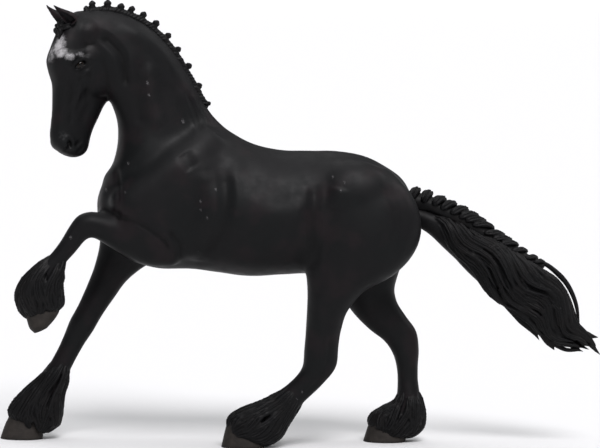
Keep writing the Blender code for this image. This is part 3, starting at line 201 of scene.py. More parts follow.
LEFT_GASKIN = [
    (0.9, 51, 26, 50, 7.3, -9.6, 0, 2.1),
    (1.7, 44, 18.6, 44.8, 6, -9.6, 0, 2.1),
    (1.8, 38, 12.9, 38.4, 4.9, -9.3, 0, 2.1),
    (1.6, 32, 11.1, 33, 4.2, -8.9, 0, 2.1),
    (1.3, 27, 10.4, 28.2, 3.7, -8.5, 0, 2.3),
    (1, 22.6, 9.8, 22.4, 3.6, -8.1, 0, 2.4),
    (-0.7, 19.6, 6.2, 17.6, 3.1, -7.8, 0, 2.3),
    (-3.6, 16.8, 1.6, 13, 2.8, -7.5, 0, 2.1),
    (-7.4, 13.6, -2.4, 8.8, 3.1, -7.2, 0, 2.1),
]
LEFT_HIND_PASTERN = [
    (-4.2, 16.4, 1, 12.2, 2.8, -7.4, 0, 2.1),
    (-8, 13.4, -2.6, 8.4, 3.1, -7, 0, 2.1),
    (-13.6, 11, -7, 5.6, 3, -7, 0, 2.1),
    (-18.8, 8, -9.8, 4.4, 3.5, -7, 0, 2.1),
]
LEFT_HIND_HOOF = [
    (-19.3, 7.6, -9.6, 4, 3.8, -7, 0, 2.2),
    (-20.2, 4, -9.4, 2, 4.2, -7, 0, 2.2),
    (-21, 0, -9.2, 0, 4.6, -7, 0, 2.2),
]
RIGHT_THIGH = [
    (3.5, 78.5, 23.5, 77, 5, 5.5, 0, 2.1),
    (2.5, 70.5, 30, 69.5, 7.4, 7.8, 0, 2.2),
    (2.8, 62.5, 32, 61, 8.2, 8.7, 0, 2.2),
    (4.6, 55, 31, 54, 8, 9, 0, 2.2),
    (8.2, 47.5, 28.8, 48.2, 6.8, 9.2, 0, 2.1),
    (12, 41.5, 27.2, 43, 5.6, 9.2, 0, 2.1),
]
RIGHT_GASKIN = [
    (7.4, 49, 29.2, 49.6, 7, 9.2, 0, 2.1),
    (11.4, 42.4, 27.3, 43.8, 5.8, 9.2, 0, 2.1),
    (15.8, 36, 27.8, 39.2, 4.9, 9, 0, 2.1),
    (20.6, 31.2, 30.4, 35, 4.1, 8.7, 0, 2.1),
    (24.8, 28, 33.4, 30.8, 3.7, 8.4, 0, 2.3),
    (27.4, 24.2, 34.2, 26, 3.5, 8.1, 0, 2.4),
    (28.5, 20, 34, 20.8, 2.9, 7.8, 0, 2.2),
    (28.7, 15.6, 34.2, 15.6, 2.7, 7.4, 0, 2.1),
    (28.4, 11.2, 35, 10.8, 3.1, 7, 0, 2.1),
]
RIGHT_HIND_PASTERN = [
    (28.7, 17.2, 34.1, 17.2, 2.7, 7.5, 0, 2.1),
    (28.5, 12, 34.8, 11.4, 3.1, 7, 0, 2.1),
    (25.8, 9.4, 33.8, 7.4, 3, 7, 0, 2.1),
    (21.8, 7.2, 31.6, 4.6, 3.4, 7, 0, 2.1),
]
RIGHT_HIND_HOOF = [
    (21.3, 6.8, 31.4, 4.2, 3.7, 7, 0, 2.2),
    (20.2, 3.4, 31.2, 2, 4.1, 7, 0, 2.2),
    (19.2, 0, 31, 0, 4.5, 7, 0, 2.2),
]
LIMBS = (
    LEFT_SHOULDER,
    RIGHT_SHOULDER,
    LEFT_FOREARM,
    LEFT_FORE_PASTERN,
    RIGHT_FOREARM,
    RIGHT_FORE_PASTERN,
    LEFT_THIGH,
    LEFT_GASKIN,
    LEFT_HIND_PASTERN,
    RIGHT_THIGH,
    RIGHT_GASKIN,
    RIGHT_HIND_PASTERN,
)
# The feather of each foot as one form, from the cannon down
LEFT_FORE_FEATHER = [
    (-67.6, 53, -63.2, 50.6, 2.7, -8.1, 0, 2.1),
    (-71.6, 49.6, -64.5, 47, 3.3, -8, 0, 2.1),
    (-75.4, 45.8, -65.3, 44.4, 3.9, -8, 0, 2.1),
    (-77.3, 41.4, -65.2, 41.6, 4.2, -8, 0, 2.1),
    (-76.6, 37.4, -65, 38.9, 4.2, -8, 0, 2.1),
    (-74.9, 35.2, -66.6, 37.4, 3.6, -8, 0, 2.1),
]
RIGHT_FORE_FEATHER = [
    (-66.2, 23.6, -61.4, 21.4, 2.8, 7.3, 0, 2.1),
    (-70, 18, -62.9, 16.8, 3.5, 7, 0, 2.1),
    (-74.6, 13.6, -64.4, 12, 4.1, 7, 0, 2.1),
    (-78.2, 9.6, -65, 7.6, 4.6, 7, 0, 2.1),
    (-79.2, 6.8, -65.6, 4.4, 4.7, 7, 0, 2.1),
    (-77, 4.8, -67.8, 2.4, 4.2, 7, 0, 2.1),
]
LEFT_HIND_FEATHER = [
    (-2, 18.4, 3, 14.2, 2.9, -7.5, 0, 2.1),
    (-6, 14.8, -0.6, 9.8, 3.5, -7, 0, 2.1),
    (-10.6, 12.2, -3.2, 6, 4.1, -7, 0, 2.1),
    (-15.4, 10.4, -5.2, 2.8, 4.6, -7, 0, 2.1),
    (-18.8, 8.4, -8.4, 1, 4.7, -7, 0, 2.1),
    (-19.6, 6.2, -12.6, 1.4, 4.2, -7, 0, 2.1),
]
RIGHT_HIND_FEATHER = [
    (28.5, 15.4, 34.2, 15.6, 2.8, 7.3, 0, 2.1),
    (27.8, 11.4, 35.3, 11.8, 3.5, 7, 0, 2.1),
    (24.8, 9.4, 36, 8.2, 4.1, 7, 0, 2.1),
    (21.6, 7.4, 35.8, 4.8, 4.6, 7, 0, 2.1),
    (20.6, 5.2, 34, 2.4, 4.6, 7, 0, 2.1),
    (22, 3.6, 31, 1.4, 4.2, 7, 0, 2.1),
]
# Tail sections: the dock with its plait, and the hair that hangs from it
DOCK = [
    (27, 71.8, 28, 64.8, 3.2, 0, 0, 2),
    (31.5, 70.9, 32.4, 63.6, 3.6, 0, 0, 2),
    (35.4, 70, 35.6, 63.4, 4.2, 0, 0, 2),
    (40.5, 67.9, 39, 61.4, 4.2, 0, 0, 2),
    (47, 64.9, 44.8, 58.6, 4, 0, 0, 2),
    (55.5, 59.2, 52.4, 53.8, 3.6, 0, 0, 2),
    (63, 54.4, 60.2, 49.8, 2.9, 0, 0, 2),
    (68.6, 51, 67, 48.4, 1.5, 0, 0, 2),
]
TAIL_HAIR = [
    (33.6, 63.6, 33.4, 60.4, 2.6, 0, 0, 2),
    (37, 64, 36.6, 58, 4, 0, 0, 2),
    (44, 62.6, 39.7, 53.5, 5, 0, 0, 2.1),
    (52, 58.6, 46, 46.7, 5.6, 0, 0, 2.1),
    (61, 53.4, 53.2, 40.6, 5.8, 0, 0, 2.1),
    (70.2, 48, 60.8, 35.8, 5, 0, 0, 2.1),
    (74.2, 41.4, 66.6, 32, 4.1, 0, 0, 2.1),
    (77.2, 34.9, 71.8, 29, 3, 0, 0, 2.1),
    (80.6, 30.4, 77.2, 27.6, 1.4, 0, 0, 2),
]

# The thick root of the tail, under the dock
TAIL_ROOT = [
    (30.6, 66.5, 32, 60.9, 3, 0, 0, 2),
    (35.5, 65.5, 35.9, 58.4, 3.9, 0, 0, 2),
    (41, 63.5, 39.6, 55, 4.4, 0, 0, 2),
    (47, 60, 43.8, 51.2, 4.4, 0, 0, 2),
]

# Muscles that stand proud of the lofts on both sides: centre as x, y, z of the right one, radii, pitch
MUSCLES = [
    ((14.0, 9.0, 68.0), (13.0, 7.2, 11.0), 0.0),
    ((-28.0, 9.8, 59.0), (9.0, 5.4, 8.0), 0.5),
    ((-49.0, 5.4, 64.0), (6.0, 5.4, 8.0), 0.0),
    ((-36.0, 6.5, 77.0), (9.0, 5.6, 8.0), -0.6),
]
# Cheeks, brows and nostril rims on the straight head: ahead, left, z, radii
HEAD_FORMS = [
    ((-4.4, 3.2, 103.6), (5.6, 2.5, 7.6)),
    ((3.8, 3.9, 105.6), (3.6, 1.6, 2.6)),
    ((5.4, 2.3, 82.6), (2.6, 1.5, 2.6)),
    ((-3.8, 3.6, 103.4), (7.6, 3.9, 8.4)),
    ((-5.4, 2.0, 97.6), (3.4, 3.0, 3.4)),
    ((-2.0, 2.4, 112.0), (5.6, 3.9, 4.8)),
]

# Grooves and ridges of the skin: body or head, side, width, height, and points as x (or ahead), z
STROKES = [
    # The groove behind the upper arm and the muscle before it
    ("body", "both", 3.2, -0.8, [(-21.7, 77), (-21.2, 67.5), (-23.4, 56.5), (-30.2, 49.6)]),
    ("body", "both", 4.0, 0.5, [(-27, 76), (-26, 67), (-29, 57)]),
    # The fold of the flank, and the loin before it
    ("body", "both", 2.6, -0.6, [(3, 73), (2.5, 62), (3, 53.5), (1.9, 49)]),
    ("body", "both", 3.0, 0.35, [(-1, 72), (-1.5, 62)]),
    # The edge of the shoulder blade, the hollow above it, and the ribs' hollow
    ("body", "both", 4.5, 0.25, [(-24, 86), (-37, 76), (-50, 66)]),
    ("body", "both", 3.2, -0.5, [(-33, 80.5), (-30, 76.5)]),
    ("body", "both", 4.5, -0.35, [(-17, 79), (-11, 71), (-5, 69), (0, 72)]),
    # The point of the hip, and the line down the back of the thigh
    ("body", "both", 3.5, 0.5, [(9.6, 72), (8.3, 66)]),
    ("body", "both", 3.0, -0.4, [(24, 73), (26.5, 63), (24, 52)]),
    # The groove of the windpipe, and the neck's muscle above it
    ("body", "both", 2.8, -0.5, [(-44.5, 106), (-45, 97), (-44.5, 87)]),
    ("body", "both", 4.5, 0.4, [(-48, 115), (-38, 106), (-31, 94)]),
    # Brow, lower lid, the crest of the face, and the mouth
    ("head", "both", 1.5, 0.5, [(0.6, 104.9), (2.8, 106.4), (5.0, 105.2)]),
    ("head", "both", 1.1, 0.3, [(0.9, 102.4), (3.0, 101.5), (5.0, 102.4)]),
    ("head", "both", 1.7, 0.35, [(1.6, 98.5), (4.6, 91.5)]),
    ("head", "both", 1.8, -0.2, [(-1.0, 94.0), (1.6, 88.0)]),
    ("head", "both", 0.9, -0.5, [(1.3, 83.3), (3.8, 81.6), (6.6, 80.4)]),
]
# Finer ones, which only this skin holds
FINE_STROKES = [
    # Wrinkles where the neck meets the withers
    ("body", "both", 1.0, 0.25, [(-33.4, 96.6), (-31.2, 91.6), (-29.2, 86.0)]),
    ("body", "both", 1.0, -0.25, [(-32.0, 96.6), (-29.8, 92.0), (-27.6, 87.0)]),
    ("body", "both", 1.0, 0.25, [(-30.6, 96.2), (-28.2, 92.0), (-26.0, 88.0)]),
    ("body", "both", 1.0, -0.2, [(-29.0, 95.0), (-26.8, 91.6), (-24.4, 88.6)]),
    # The fold from the breast up to the withers, and the folds of the raised elbow
    ("body", "left", 1.3, -0.5, [(-50.6, 76.0), (-50.0, 69.0), (-50.4, 62.5)]),
    ("body", "left", 1.4, -0.5, [(-51.0, 63.4), (-44.5, 61.4), (-38.0, 57.0), (-34.0, 52.0)]),
    ("body", "left", 1.2, -0.4, [(-36.5, 60.0), (-33.5, 56.0), (-33.0, 51.5)]),
    ("body", "left", 1.2, 0.3, [(-38.5, 60.5), (-36.0, 56.5), (-35.6, 52.5)]),
    # Tendons of the legs
    ("body", "left", 1.0, -0.3, [(-60.8, 59.6), (-63.4, 54.4), (-66.4, 49.6)]),
    ("body", "right", 1.0, -0.3, [(-57.2, 30.0), (-60.4, 24.0), (-63.6, 18.0)]),
    ("body", "left", 1.1, -0.3, [(7.8, 31.5), (7.6, 25.0), (5.0, 19.0), (0.6, 14.4)]),
    ("body", "right", 1.1, -0.3, [(30.6, 31.0), (31.6, 24.0), (31.8, 16.0)]),
    ("body", "left", 2.2, 0.3, [(4.6, 43.0), (4.2, 33.0)]),
    # The hollow behind the cheek, the long highlight of the crest, and the neck's lower muscle
    ("body", "both", 2.2, -0.9, [(-55.6, 112), (-52.4, 109.6), (-50, 106.8), (-48.9, 103), (-48.3, 98)]),
    ("body", "both", 2.6, 0.3, [(-50.0, 115.0), (-41.0, 109.0), (-34.4, 100.0), (-30.0, 90.0)]),
    ("body", "both", 3.0, 0.3, [(-42.0, 105.0), (-41.0, 96.0), (-39.0, 87.0)]),
    # Round the eye: the brow, the crease over the upper lid, and the bag under the lower one
    ("head", "both", 0.8, 0.4, [(5.6, 105.0), (4.2, 106.8), (1.4, 107.8)]),
    ("head", "both", 0.6, -0.45, [(5.7, 103.4), (4.2, 105.5), (1.2, 106.7)]),
    ("head", "both", 0.6, -0.2, [(5.2, 101.6), (3.0, 101.9), (0.8, 104.0)]),
    ("head", "both", 0.7, 0.12, [(5.0, 100.6), (2.6, 100.9), (0.4, 103.0)]),
    # The bone and the hollow of the nose, the crest of the face, and the front edge of the cheek
    ("head", "both", 0.9, 0.25, [(6.4, 101.0), (6.6, 93.0), (6.9, 87.0)]),
    ("head", "both", 1.2, -0.3, [(4.9, 99.5), (4.8, 93.0), (4.9, 87.5)]),
    ("head", "both", 0.8, 0.3, [(2.4, 100.0), (2.7, 97.4), (3.0, 94.6)]),
    ("head", "both", 1.3, -0.3, [(0.9, 102.6), (0.5, 98.5), (0.1, 94.5)]),
    # The rim of the nostril, and the chin
    ("head", "both", 0.6, 0.3, [(3.6, 81.0), (3.5, 82.6), (4.4, 84.0), (5.7, 84.4), (6.4, 83.4)]),
    ("head", "both", 0.8, -0.3, [(0.4, 81.8), (2.4, 79.9)]),
]


def mesh_object(name, bm):
    """A mesh object in metres from a bmesh in millimetres."""
    bmesh.ops.recalc_face_normals(bm, faces=bm.faces)
    bmesh.ops.scale(bm, vec=(MM, MM, MM), verts=bm.verts)
    mesh = bpy.data.meshes.new(name)
    bm.to_mesh(mesh)
    bm.free()
    obj = bpy.data.objects.new(name, mesh)
    bpy.context.scene.collection.objects.link(obj)
    return obj


def bridge(bm, rings):
    """Joins rings of points into one closed body with flat ends."""
    sides = len(rings[0])
    for lower, upper in zip(rings, rings[1:]):
        for k in range(sides):
            j = (k + 1) % sides
            bm.faces.new((lower[k], lower[j], upper[j], upper[k]))
    bm.faces.new(rings[0])
    bm.faces.new(rings[-1])


def numbers(items, name, width=3, kind=float):
    """One property of many mesh elements as an array, with a row for each where it is wider than one."""
    found = np.empty(len(items) * width, kind)
    items.foreach_get(name, found)
    return found.reshape(-1, width) if width > 1 else found


def smooth_rows(rows, steps):
    """The rows of a table with steps - 1 more between each two, on a smooth curve through them all."""
    rows = np.array(rows, float)
    padded = np.vstack([2 * rows[0] - rows[1], rows, 2 * rows[-1] - rows[-2]])
    made = []
    for a, b, c, d in zip(padded, padded[1:], padded[2:], padded[3:]):
        for t in np.arange(steps) / steps:
            made.append(
                0.5
                * (
                    2 * b
                    + (c - a) * t
                    + (2 * a - 5 * b + 4 * c - d) * t**2
                    + (3 * b - 3 * c + d - a) * t**3
                )
            )
    made.append(rows[-1])
    return np.array(made)


def ring_point(section, angle, grow):
    """The point at an angle round one section, grown outwards by grow. Angle 0 is at its first point."""
    top_x, top_z, bottom_x, bottom_z, half_width, centre_y, egg, power = section
    chord = np.array([top_x - bottom_x, 0.0, top_z - bottom_z])
    middle = np.array([(top_x + bottom_x) / 2, centre_y, (top_z + bottom_z) / 2])
    half_chord = np.linalg.norm(chord) / 2
    along = chord / (2 * half_chord)
    c = math.cos(angle)
    s = math.sin(angle)
    c_round = math.copysign(abs(c) ** (2 / power), c)
    s_round = math.copysign(abs(s) ** (2 / power), s)
    lateral = (half_width * (1 + egg * c_round) + grow) * s_round
    return middle + along * (half_chord + grow) * c_round + np.array([0.0, lateral, 0.0])


def ring(section, sides, grow):
    return [ring_point(section, 2 * math.pi * k / sides, grow) for k in range(sides)]


def loft(name, table, sides=RING_SIDES, steps=SPAN_STEPS, grow=0.0):
    """A closed body through the sections of a table, grown sideways by grow."""
    bm = bmesh.new()
    rings = []
    for section in smooth_rows(table, steps):
        rings.append([bm.verts.new(p) for p in ring(section, sides, grow)])
    bridge(bm, rings)
    return mesh_object(name, bm)


def ball(name, centre, radii, rotation=(0.0, 0.0, 0.0), segments=24, rings=14):
    """An ellipsoid, with its radii and turn."""
    bm = bmesh.new()
    bmesh.ops.create_uvsphere(bm, u_segments=segments, v_segments=rings, radius=1.0)
    place = Matrix.Translation(centre) @ Euler(rotation).to_matrix().to_4x4()
    bm.transform(place @ Matrix.Diagonal((*radii, 1.0)))
    return mesh_object(name, bm)


def section_at(rows, share):
    """The section at a share of the way along the rows, and past the last one on the same course."""
    last = len(rows) - 1
    place = share * last
    k = int(min(max(math.floor(place), 0), last - 1))
    section = rows[k] + (rows[k + 1] - rows[k]) * (place - k)
    section[4] = max(section[4], SLIMMEST)
    return section


# Outline of a lock: share of its length, of its width and of its thickness
LOCK_OUTLINE = [(0.0, 0.5, 0.7), (0.14, 1.0, 1.0), (0.55, 0.9, 0.95), (0.85, 0.5, 0.7), (1.0, 0.05, 0.12)]
# A tuft of a foot, which ends bluntly
TUFT_OUTLINE = [(0.0, 0.3, 0.4), (0.25, 0.85, 0.9), (0.6, 1.0, 1.0), (0.88, 0.85, 0.85), (1.0, 0.3, 0.35)]
LOCK_SINK = 0.8
ROOT_SHARE = 0.25
RIDGE_DEPTH = 0.8


def sweep(bm, centres, outward, widths, thicknesses, sides, ridges=0):
    """Adds a closed tapered body along a line of points, with flat elliptic sections that may be ridged."""
    along = np.gradient(centres, axis=0)
    across = np.cross(along, outward)
    across /= np.linalg.norm(across, axis=1)[:, None]
    out = np.cross(across, along)
    out /= np.linalg.norm(out, axis=1)[:, None]
    rings = []
    for centre, side, up, wide, thick in zip(centres, across, out, widths, thicknesses):
        made = []
        for k in range(sides):
            a = 2 * math.pi * k / sides
            wave = 0.5 + 0.5 * math.cos(math.pi * ridges * (math.cos(a) + 1))
            furrow = 1 - RIDGE_DEPTH * wave if ridges else 1
            beside = side * math.cos(a) * wide / 2
            made.append(bm.verts.new(centre + beside + up * math.sin(a) * furrow * thick / 2))
        rings.append(made)
    bridge(bm, rings)


def add_lock(bm, rows, path, width, thickness, rise=0.0, lift=0.15, ridges=3, outline=LOCK_OUTLINE):
    """Adds a lock along a path of shares and angles on a form, from its sunk root to its tip, which rises."""
    shares = np.linspace(0, 1, len(path))
    centres = []
    outward = []
    for share, (along, angle) in zip(shares, path):
        section = section_at(rows, along)
        sunk = (LOCK_SINK + lift) * max(0.0, 1 - share / ROOT_SHARE)
        height = (lift - sunk) * thickness + rise * share**2
        centres.append(ring_point(section, angle, height))
        outward.append(ring_point(section, angle, height + 1.0) - centres[-1])
    outline = np.array(outline)
    widths = width * np.interp(shares, outline[:, 0], outline[:, 1])
    thicknesses = thickness * np.interp(shares, outline[:, 0], outline[:, 2])
    sweep(bm, np.array(centres), np.array(outward), widths, thicknesses, LOCK_SIDES, ridges)


def turn_head(points):
    """Points of the straight head, as ahead, lateral, z, placed in the frame with the head's turn."""
    points = np.array(points, float)
    ahead = points[..., 0]
    # The left side is at -Y, and the head turns to the left.
    left = points[..., 1]
    cos = math.cos(HEAD_YAW)
    sin = math.sin(HEAD_YAW)
    x = POLL[0] - ahead * cos + left * sin
    y = POLL[1] - ahead * sin - left * cos
    return np.stack([x, y, points[..., 2]], axis=-1)


def place_on_head(obj):
    """Moves an object drawn as ahead, left, z to its place on the turned head."""
    moved = turn_head(numbers(obj.data.vertices, "co") / MM) * MM
    obj.data.vertices.foreach_set("co", moved.ravel())
    bm = bmesh.new()
    bm.from_mesh(obj.data)
    bmesh.ops.recalc_face_normals(bm, faces=bm.faces)
    bm.to_mesh(obj.data)
    bm.free()
    return obj


def joined(name, objects):
    """One object that holds the meshes of several, which are removed."""
    bm = bmesh.new()
    for obj in objects:
        bm.from_mesh(obj.data)
        bpy.data.objects.remove(obj, do_unlink=True)
    mesh = bpy.data.meshes.new(name)
    bm.to_mesh(mesh)
    bm.free()
    made = bpy.data.objects.new(name, mesh)
    bpy.context.scene.collection.objects.link(made)
    return made


def applied(obj):
    """The object with its modifiers made part of its mesh."""
    graph = bpy.context.evaluated_depsgraph_get()
    mesh = bpy.data.meshes.new_from_object(obj.evaluated_get(graph))
    obj.modifiers.clear()
    obj.data = mesh
    return obj


def cut(obj, cutter):
    """Cuts one closed mesh out of another, and removes the cutter."""
    modifier = obj.modifiers.new("cut", "BOOLEAN")
    modifier.operation = "DIFFERENCE"
    modifier.solver = "MANIFOLD"
    modifier.object = cutter
    applied(obj)
    bpy.data.objects.remove(cutter, do_unlink=True)
    keep_largest(obj)


def keep_largest(obj):
    """Drops every closed surface of the mesh but the largest."""
    bm = bmesh.new()
    bm.from_mesh(obj.data)
    seen = set()
    groups = []
    for start in bm.verts:
        if start.index in seen:
            continue
        seen.add(start.index)
        group = [start]
        for vert in group:
            for edge in vert.link_edges:
                other = edge.other_vert(vert)
                if other.index not in seen:
                    seen.add(other.index)
                    group.append(other)
        groups.append(group)
    groups.sort(key=extent, reverse=True)
    for group in groups[1:]:
        bmesh.ops.delete(bm, geom=group, context="VERTS")
    bm.to_mesh(obj.data)
    bm.free()


def extent(group):
    co = np.array([v.co for v in group])
    return float(np.prod(co.max(axis=0) - co.min(axis=0) + 1e-6))


def voxel_skin(name, solids, voxel, smoothing):
    """One smooth closed skin round several solids."""
    skin = joined(name, solids)
    remesh = skin.modifiers.new("remesh", "REMESH")
    remesh.mode = "VOXEL"
    remesh.voxel_size = voxel * MM
    smooth = skin.modifiers.new("smooth", "SMOOTH")
    smooth.factor = SMOOTHING_FACTOR
    smooth.iterations = smoothing
    return applied(skin)


def falloff(t):
    """1 at 0, falling smoothly to 0 at 1."""
    t = np.clip(t, 0.0, 1.0)
    return 1.0 - t * t * (3.0 - 2.0 * t)


def distance_to_line(points, line):
    """The distance of each point from a line of straight runs, and how far along it the nearest point is."""
    best = np.full(len(points), 1e9)
    place = np.zeros(len(points))
    runs = np.linalg.norm(np.diff(line, axis=0), axis=1)
    start = 0.0
    for a, b, run in zip(line, line[1:], runs):
        t = np.clip((points - a) @ (b - a) / max(run * run, 1e-9), 0.0, 1.0)
        gap = np.linalg.norm(points - (a + t[:, None] * (b - a)), axis=1)
        nearer = gap < best
        best[nearer] = gap[nearer]
        place[nearer] = (start + t * run)[nearer]
        start += run
    return best, place / max(runs.sum(), 1e-9)


def head_local(points):
    """The inverse of turn_head."""
    cos = math.cos(HEAD_YAW)
    sin = math.sin(HEAD_YAW)
    dx = points[:, 0] - POLL[0]
    dy = points[:, 1] - POLL[1]
    return np.stack([-dx * cos - dy * sin, dx * sin - dy * cos, points[:, 2]], axis=1)


# How a stroke fades in from its ends, and where the skin turns away from its side
STROKE_STEPS = 6
STROKE_RISE = 6
STROKE_START = 0.25
LEAST_FACING = 0.05
FACING_FADE = 0.4


def press(skin, strokes):
    """Raises or sinks the skin along lines seen from the side.

    A stroke is its frame (body or head), side (left, right or both), width, height and points as x, z. Height
    is below 0 for a groove. Only skin that faces its side moves, along its own normal.
    """
    mesh = skin.data
    co = numbers(mesh.vertices, "co") / MM
    normal = numbers(mesh.vertex_normals, "vector")
    on_head = head_local(co)
    head_normal = head_local(co + normal) - on_head
    moved = co.copy()
    for place, side, width, height, points in strokes:
        # On the head the second number is left, and on the body it is Y, which is right.
        places, turned, way = (on_head, head_normal, -1) if place == "head" else (co, normal, 1)
        right = places[:, 1] * way
        right_normal = turned[:, 1] * way
        near, along = distance_to_line(places[:, [0, 2]], smooth_rows(points, STROKE_STEPS))
        amount = falloff(near / width) * height
        amount *= np.clip(np.minimum(along, 1 - along) * STROKE_RISE + STROKE_START, 0, 1)
        for name, sign in (("left", -1), ("right", 1)):
            if side not in (name, "both"):
                continue
            faces = np.clip((right_normal * sign - LEAST_FACING) / FACING_FADE, 0, 1)
            faces *= right * sign > 0
            moved += normal * (amount * faces)[:, None]
    mesh.vertices.foreach_set("co", (moved * MM).ravel())
    mesh.update()


def muscles():
    made = []
    for k, ((x, y, z), radii, pitch) in enumerate(MUSCLES):
        for sign in (-1, 1):
            made.append(ball(f"muscle_{k}_{sign}", (x, sign * y, z), radii, (0.0, pitch, 0.0)))
    return made


def head_solids():
    made = [loft("head_form", HEAD)]
    for k, ((ahead, left, z), radii) in enumerate(HEAD_FORMS):
        for sign in (-1, 1):
            made.append(ball(f"head_form_{k}_{sign}", (ahead, sign * left, z), radii))
    return [place_on_head(obj) for obj in made]


def tube(name, line, radii, sides=12, squash=1.0):
    """A closed tube along a line, whose radius runs through radii. Squash narrows it along Y."""
    line = np.array(line, float)
    along = np.gradient(line, axis=0)
    along /= np.linalg.norm(along, axis=1)[:, None]
    bm = bmesh.new()
    rings = []
    for point, way, radius in zip(line, along, radii):
        across = np.cross(way, (0.0, 1.0, 0.0))
        across /= np.linalg.norm(across)
        other = np.cross(across, way)
        made = []
        for k in range(sides):
            angle = 2 * math.pi * k / sides
            offset = across * math.cos(angle) * radius + other * math.sin(angle) * radius * squash
            made.append(bm.verts.new(point + offset))
        rings.append(made)
    bridge(bm, rings)
    return mesh_object(name, bm)


def line_points(line, shares):
    """Points at shares of the length of a line of straight runs."""
    line = np.array(line, float)
    runs = np.concatenate([[0.0], np.cumsum(np.linalg.norm(np.diff(line, axis=0), axis=1))])
    runs /= runs[-1]
    return np.stack([np.interp(shares, runs, line[:, k]) for k in range(3)], axis=1)


def fewer(obj, triangles):
    """Brings a mesh down to about this many triangles, most of them off its flat stretches."""
    faces = sum(len(p.vertices) - 2 for p in obj.data.polygons)
    if faces > triangles:
        decimate = obj.modifiers.new("decimate", "DECIMATE")
        decimate.ratio = triangles / faces
        applied(obj)
    return obj


# The slight unevenness of a hand-made model: how many waves, their height and their length
WAVES = 14
WAVE_HEIGHT = 0.1
WAVE_LENGTH = 9.0


def hand_worked(obj):
    """Gives a surface the slight unevenness of a hand-made model."""
    mesh = obj.data
    co = numbers(mesh.vertices, "co")
    normal = numbers(mesh.vertex_normals, "vector")
    draw = np.random.default_rng(SEED)
    amount = np.zeros(len(co))
    for _ in range(WAVES):
        way = draw.normal(size=3)
        way *= 2 * math.pi / (np.linalg.norm(way) * WAVE_LENGTH * MM * draw.uniform(0.6, 1.6))
        amount += np.sin(co @ way + draw.uniform(0, 2 * math.pi)) / WAVES
    co += normal * (amount * WAVE_HEIGHT * MM)[:, None]
    mesh.vertices.foreach_set("co", co.ravel())
    mesh.update()


# Lids: half their length, how far their corners tuck in, and the height, radius and rise of the two arcs
LID_LENGTH = 2.25
LID_TUCK = 0.35
LID_STATIONS = 17
LID_ARCS = ((1.1, 0.42, 0.3), (-0.85, 0.32, 0.15))


def eye_placement(sign):
    """Where an eye's opening lies, as a matrix: X along the lids, Y up and Z the way it looks."""
    start = Vector(turn_head((0, 0, 0)))
    ahead, left, z = EYE_MIDDLE
    middle = Vector(turn_head((ahead, sign * left, z)))
    ahead, left, z = EYE_GAZE
    gaze = (Vector(turn_head((ahead, sign * left, z))) - start).normalized()
    ahead, left, z = EYE_LINE
    line = (Vector(turn_head((ahead, sign * left, z))) - start) * sign
    up = gaze.cross(line).normalized()
    return Matrix.Translation(middle) @ Matrix((up.cross(gaze), up, gaze)).transposed().to_4x4()


def lids():
    """Upper and lower lids of both eyes, as bent rolls over the eyeball."""
    made = []
    for sign in (-1, 1):
        place = eye_placement(sign)
        for k, (arc, radius, rise) in enumerate(LID_ARCS):
            line = []
            for t in np.linspace(-1, 1, LID_STATIONS):
                height = rise - (rise + LID_TUCK) * t * t
                line.append(place @ Vector((t * LID_LENGTH, arc * (1 - t * t), height)))
            radii = radius * (0.5 + 0.5 * np.sin(np.linspace(0, math.pi, LID_STATIONS)))
            made.append(tube(f"lid_{sign}_{k}", np.array(line), radii, sides=10))
    return made


# Where the trunk is softened: its bottom, its front, the bottom of the head, the fade between, and how much
TRUNK_BOTTOM = 40.0
TRUNK_FRONT = -45.0
HEAD_BOTTOM = 88.0
TRUNK_FADE = 7.0
TRUNK_ROUNDS = 130
TRUNK_LEVELS = 10


def softened(obj):
    """Blends the forms of the trunk into each other, and leaves the head and the lower legs crisp."""
    co = numbers(obj.data.vertices, "co") / MM
    trunk = np.clip((co[:, 2] - TRUNK_BOTTOM) / TRUNK_FADE, 0, 1)
    ahead = np.clip((TRUNK_FRONT - co[:, 0]) / TRUNK_FADE, 0, 1)
    head = ahead * np.clip((co[:, 2] - HEAD_BOTTOM) / TRUNK_FADE, 0, 1)
    levels = np.round(trunk * (1 - head) * TRUNK_LEVELS).astype(int)
    group = obj.vertex_groups.new(name="trunk")
    for level in range(1, TRUNK_LEVELS + 1):
        group.add(np.flatnonzero(levels == level).tolist(), level / TRUNK_LEVELS, "REPLACE")
    smooth = obj.modifiers.new("smooth", "SMOOTH")
    smooth.vertex_group = "trunk"
    smooth.factor = SMOOTHING_FACTOR
    smooth.iterations = TRUNK_ROUNDS
    applied(obj)


# What is cut out of the skin for each eyeball
SOCKET_RADII = (2.1, 0.95, 1.0)


def skin():
    """The whole of the flesh as one closed skin."""
    solids = [loft("torso_form", TORSO), loft("neck_form", NECK)]
    for k, table in enumerate(LIMBS):
        solids.append(loft(f"limb_form_{k}", table, grow=SMOOTHING_LOSS))
    made = voxel_skin("skin", solids + head_solids() + muscles(), SKIN_VOXEL, SKIN_SMOOTHING)
    softened(made)
    press(made, STROKES + FINE_STROKES)
    for sign in (-1, 1):
        ahead, left, z = NOSTRIL
        hole = ball("hole", (0, 0, 0), NOSTRIL_RADII, (0.0, NOSTRIL_PITCH, 0.0))
        hole.data.transform(Matrix.Translation(Vector((ahead, sign * left, z)) * MM))
        place_on_head(hole)
        socket = ball("socket", (0, 0, 0), SOCKET_RADII)
        socket.data.transform(Matrix.Scale(MM, 4) @ eye_placement(sign) @ Matrix.Scale(1 / MM, 4))
        cut(made, hole)
        cut(made, socket)
    made = voxel_skin("skin", [made] + lids(), SKIN_VOXEL, LID_SMOOTHING)
    hand_worked(made)
    return fewer(mark_relief(made, SKIN_RELIEF), SKIN_TRIANGLES)


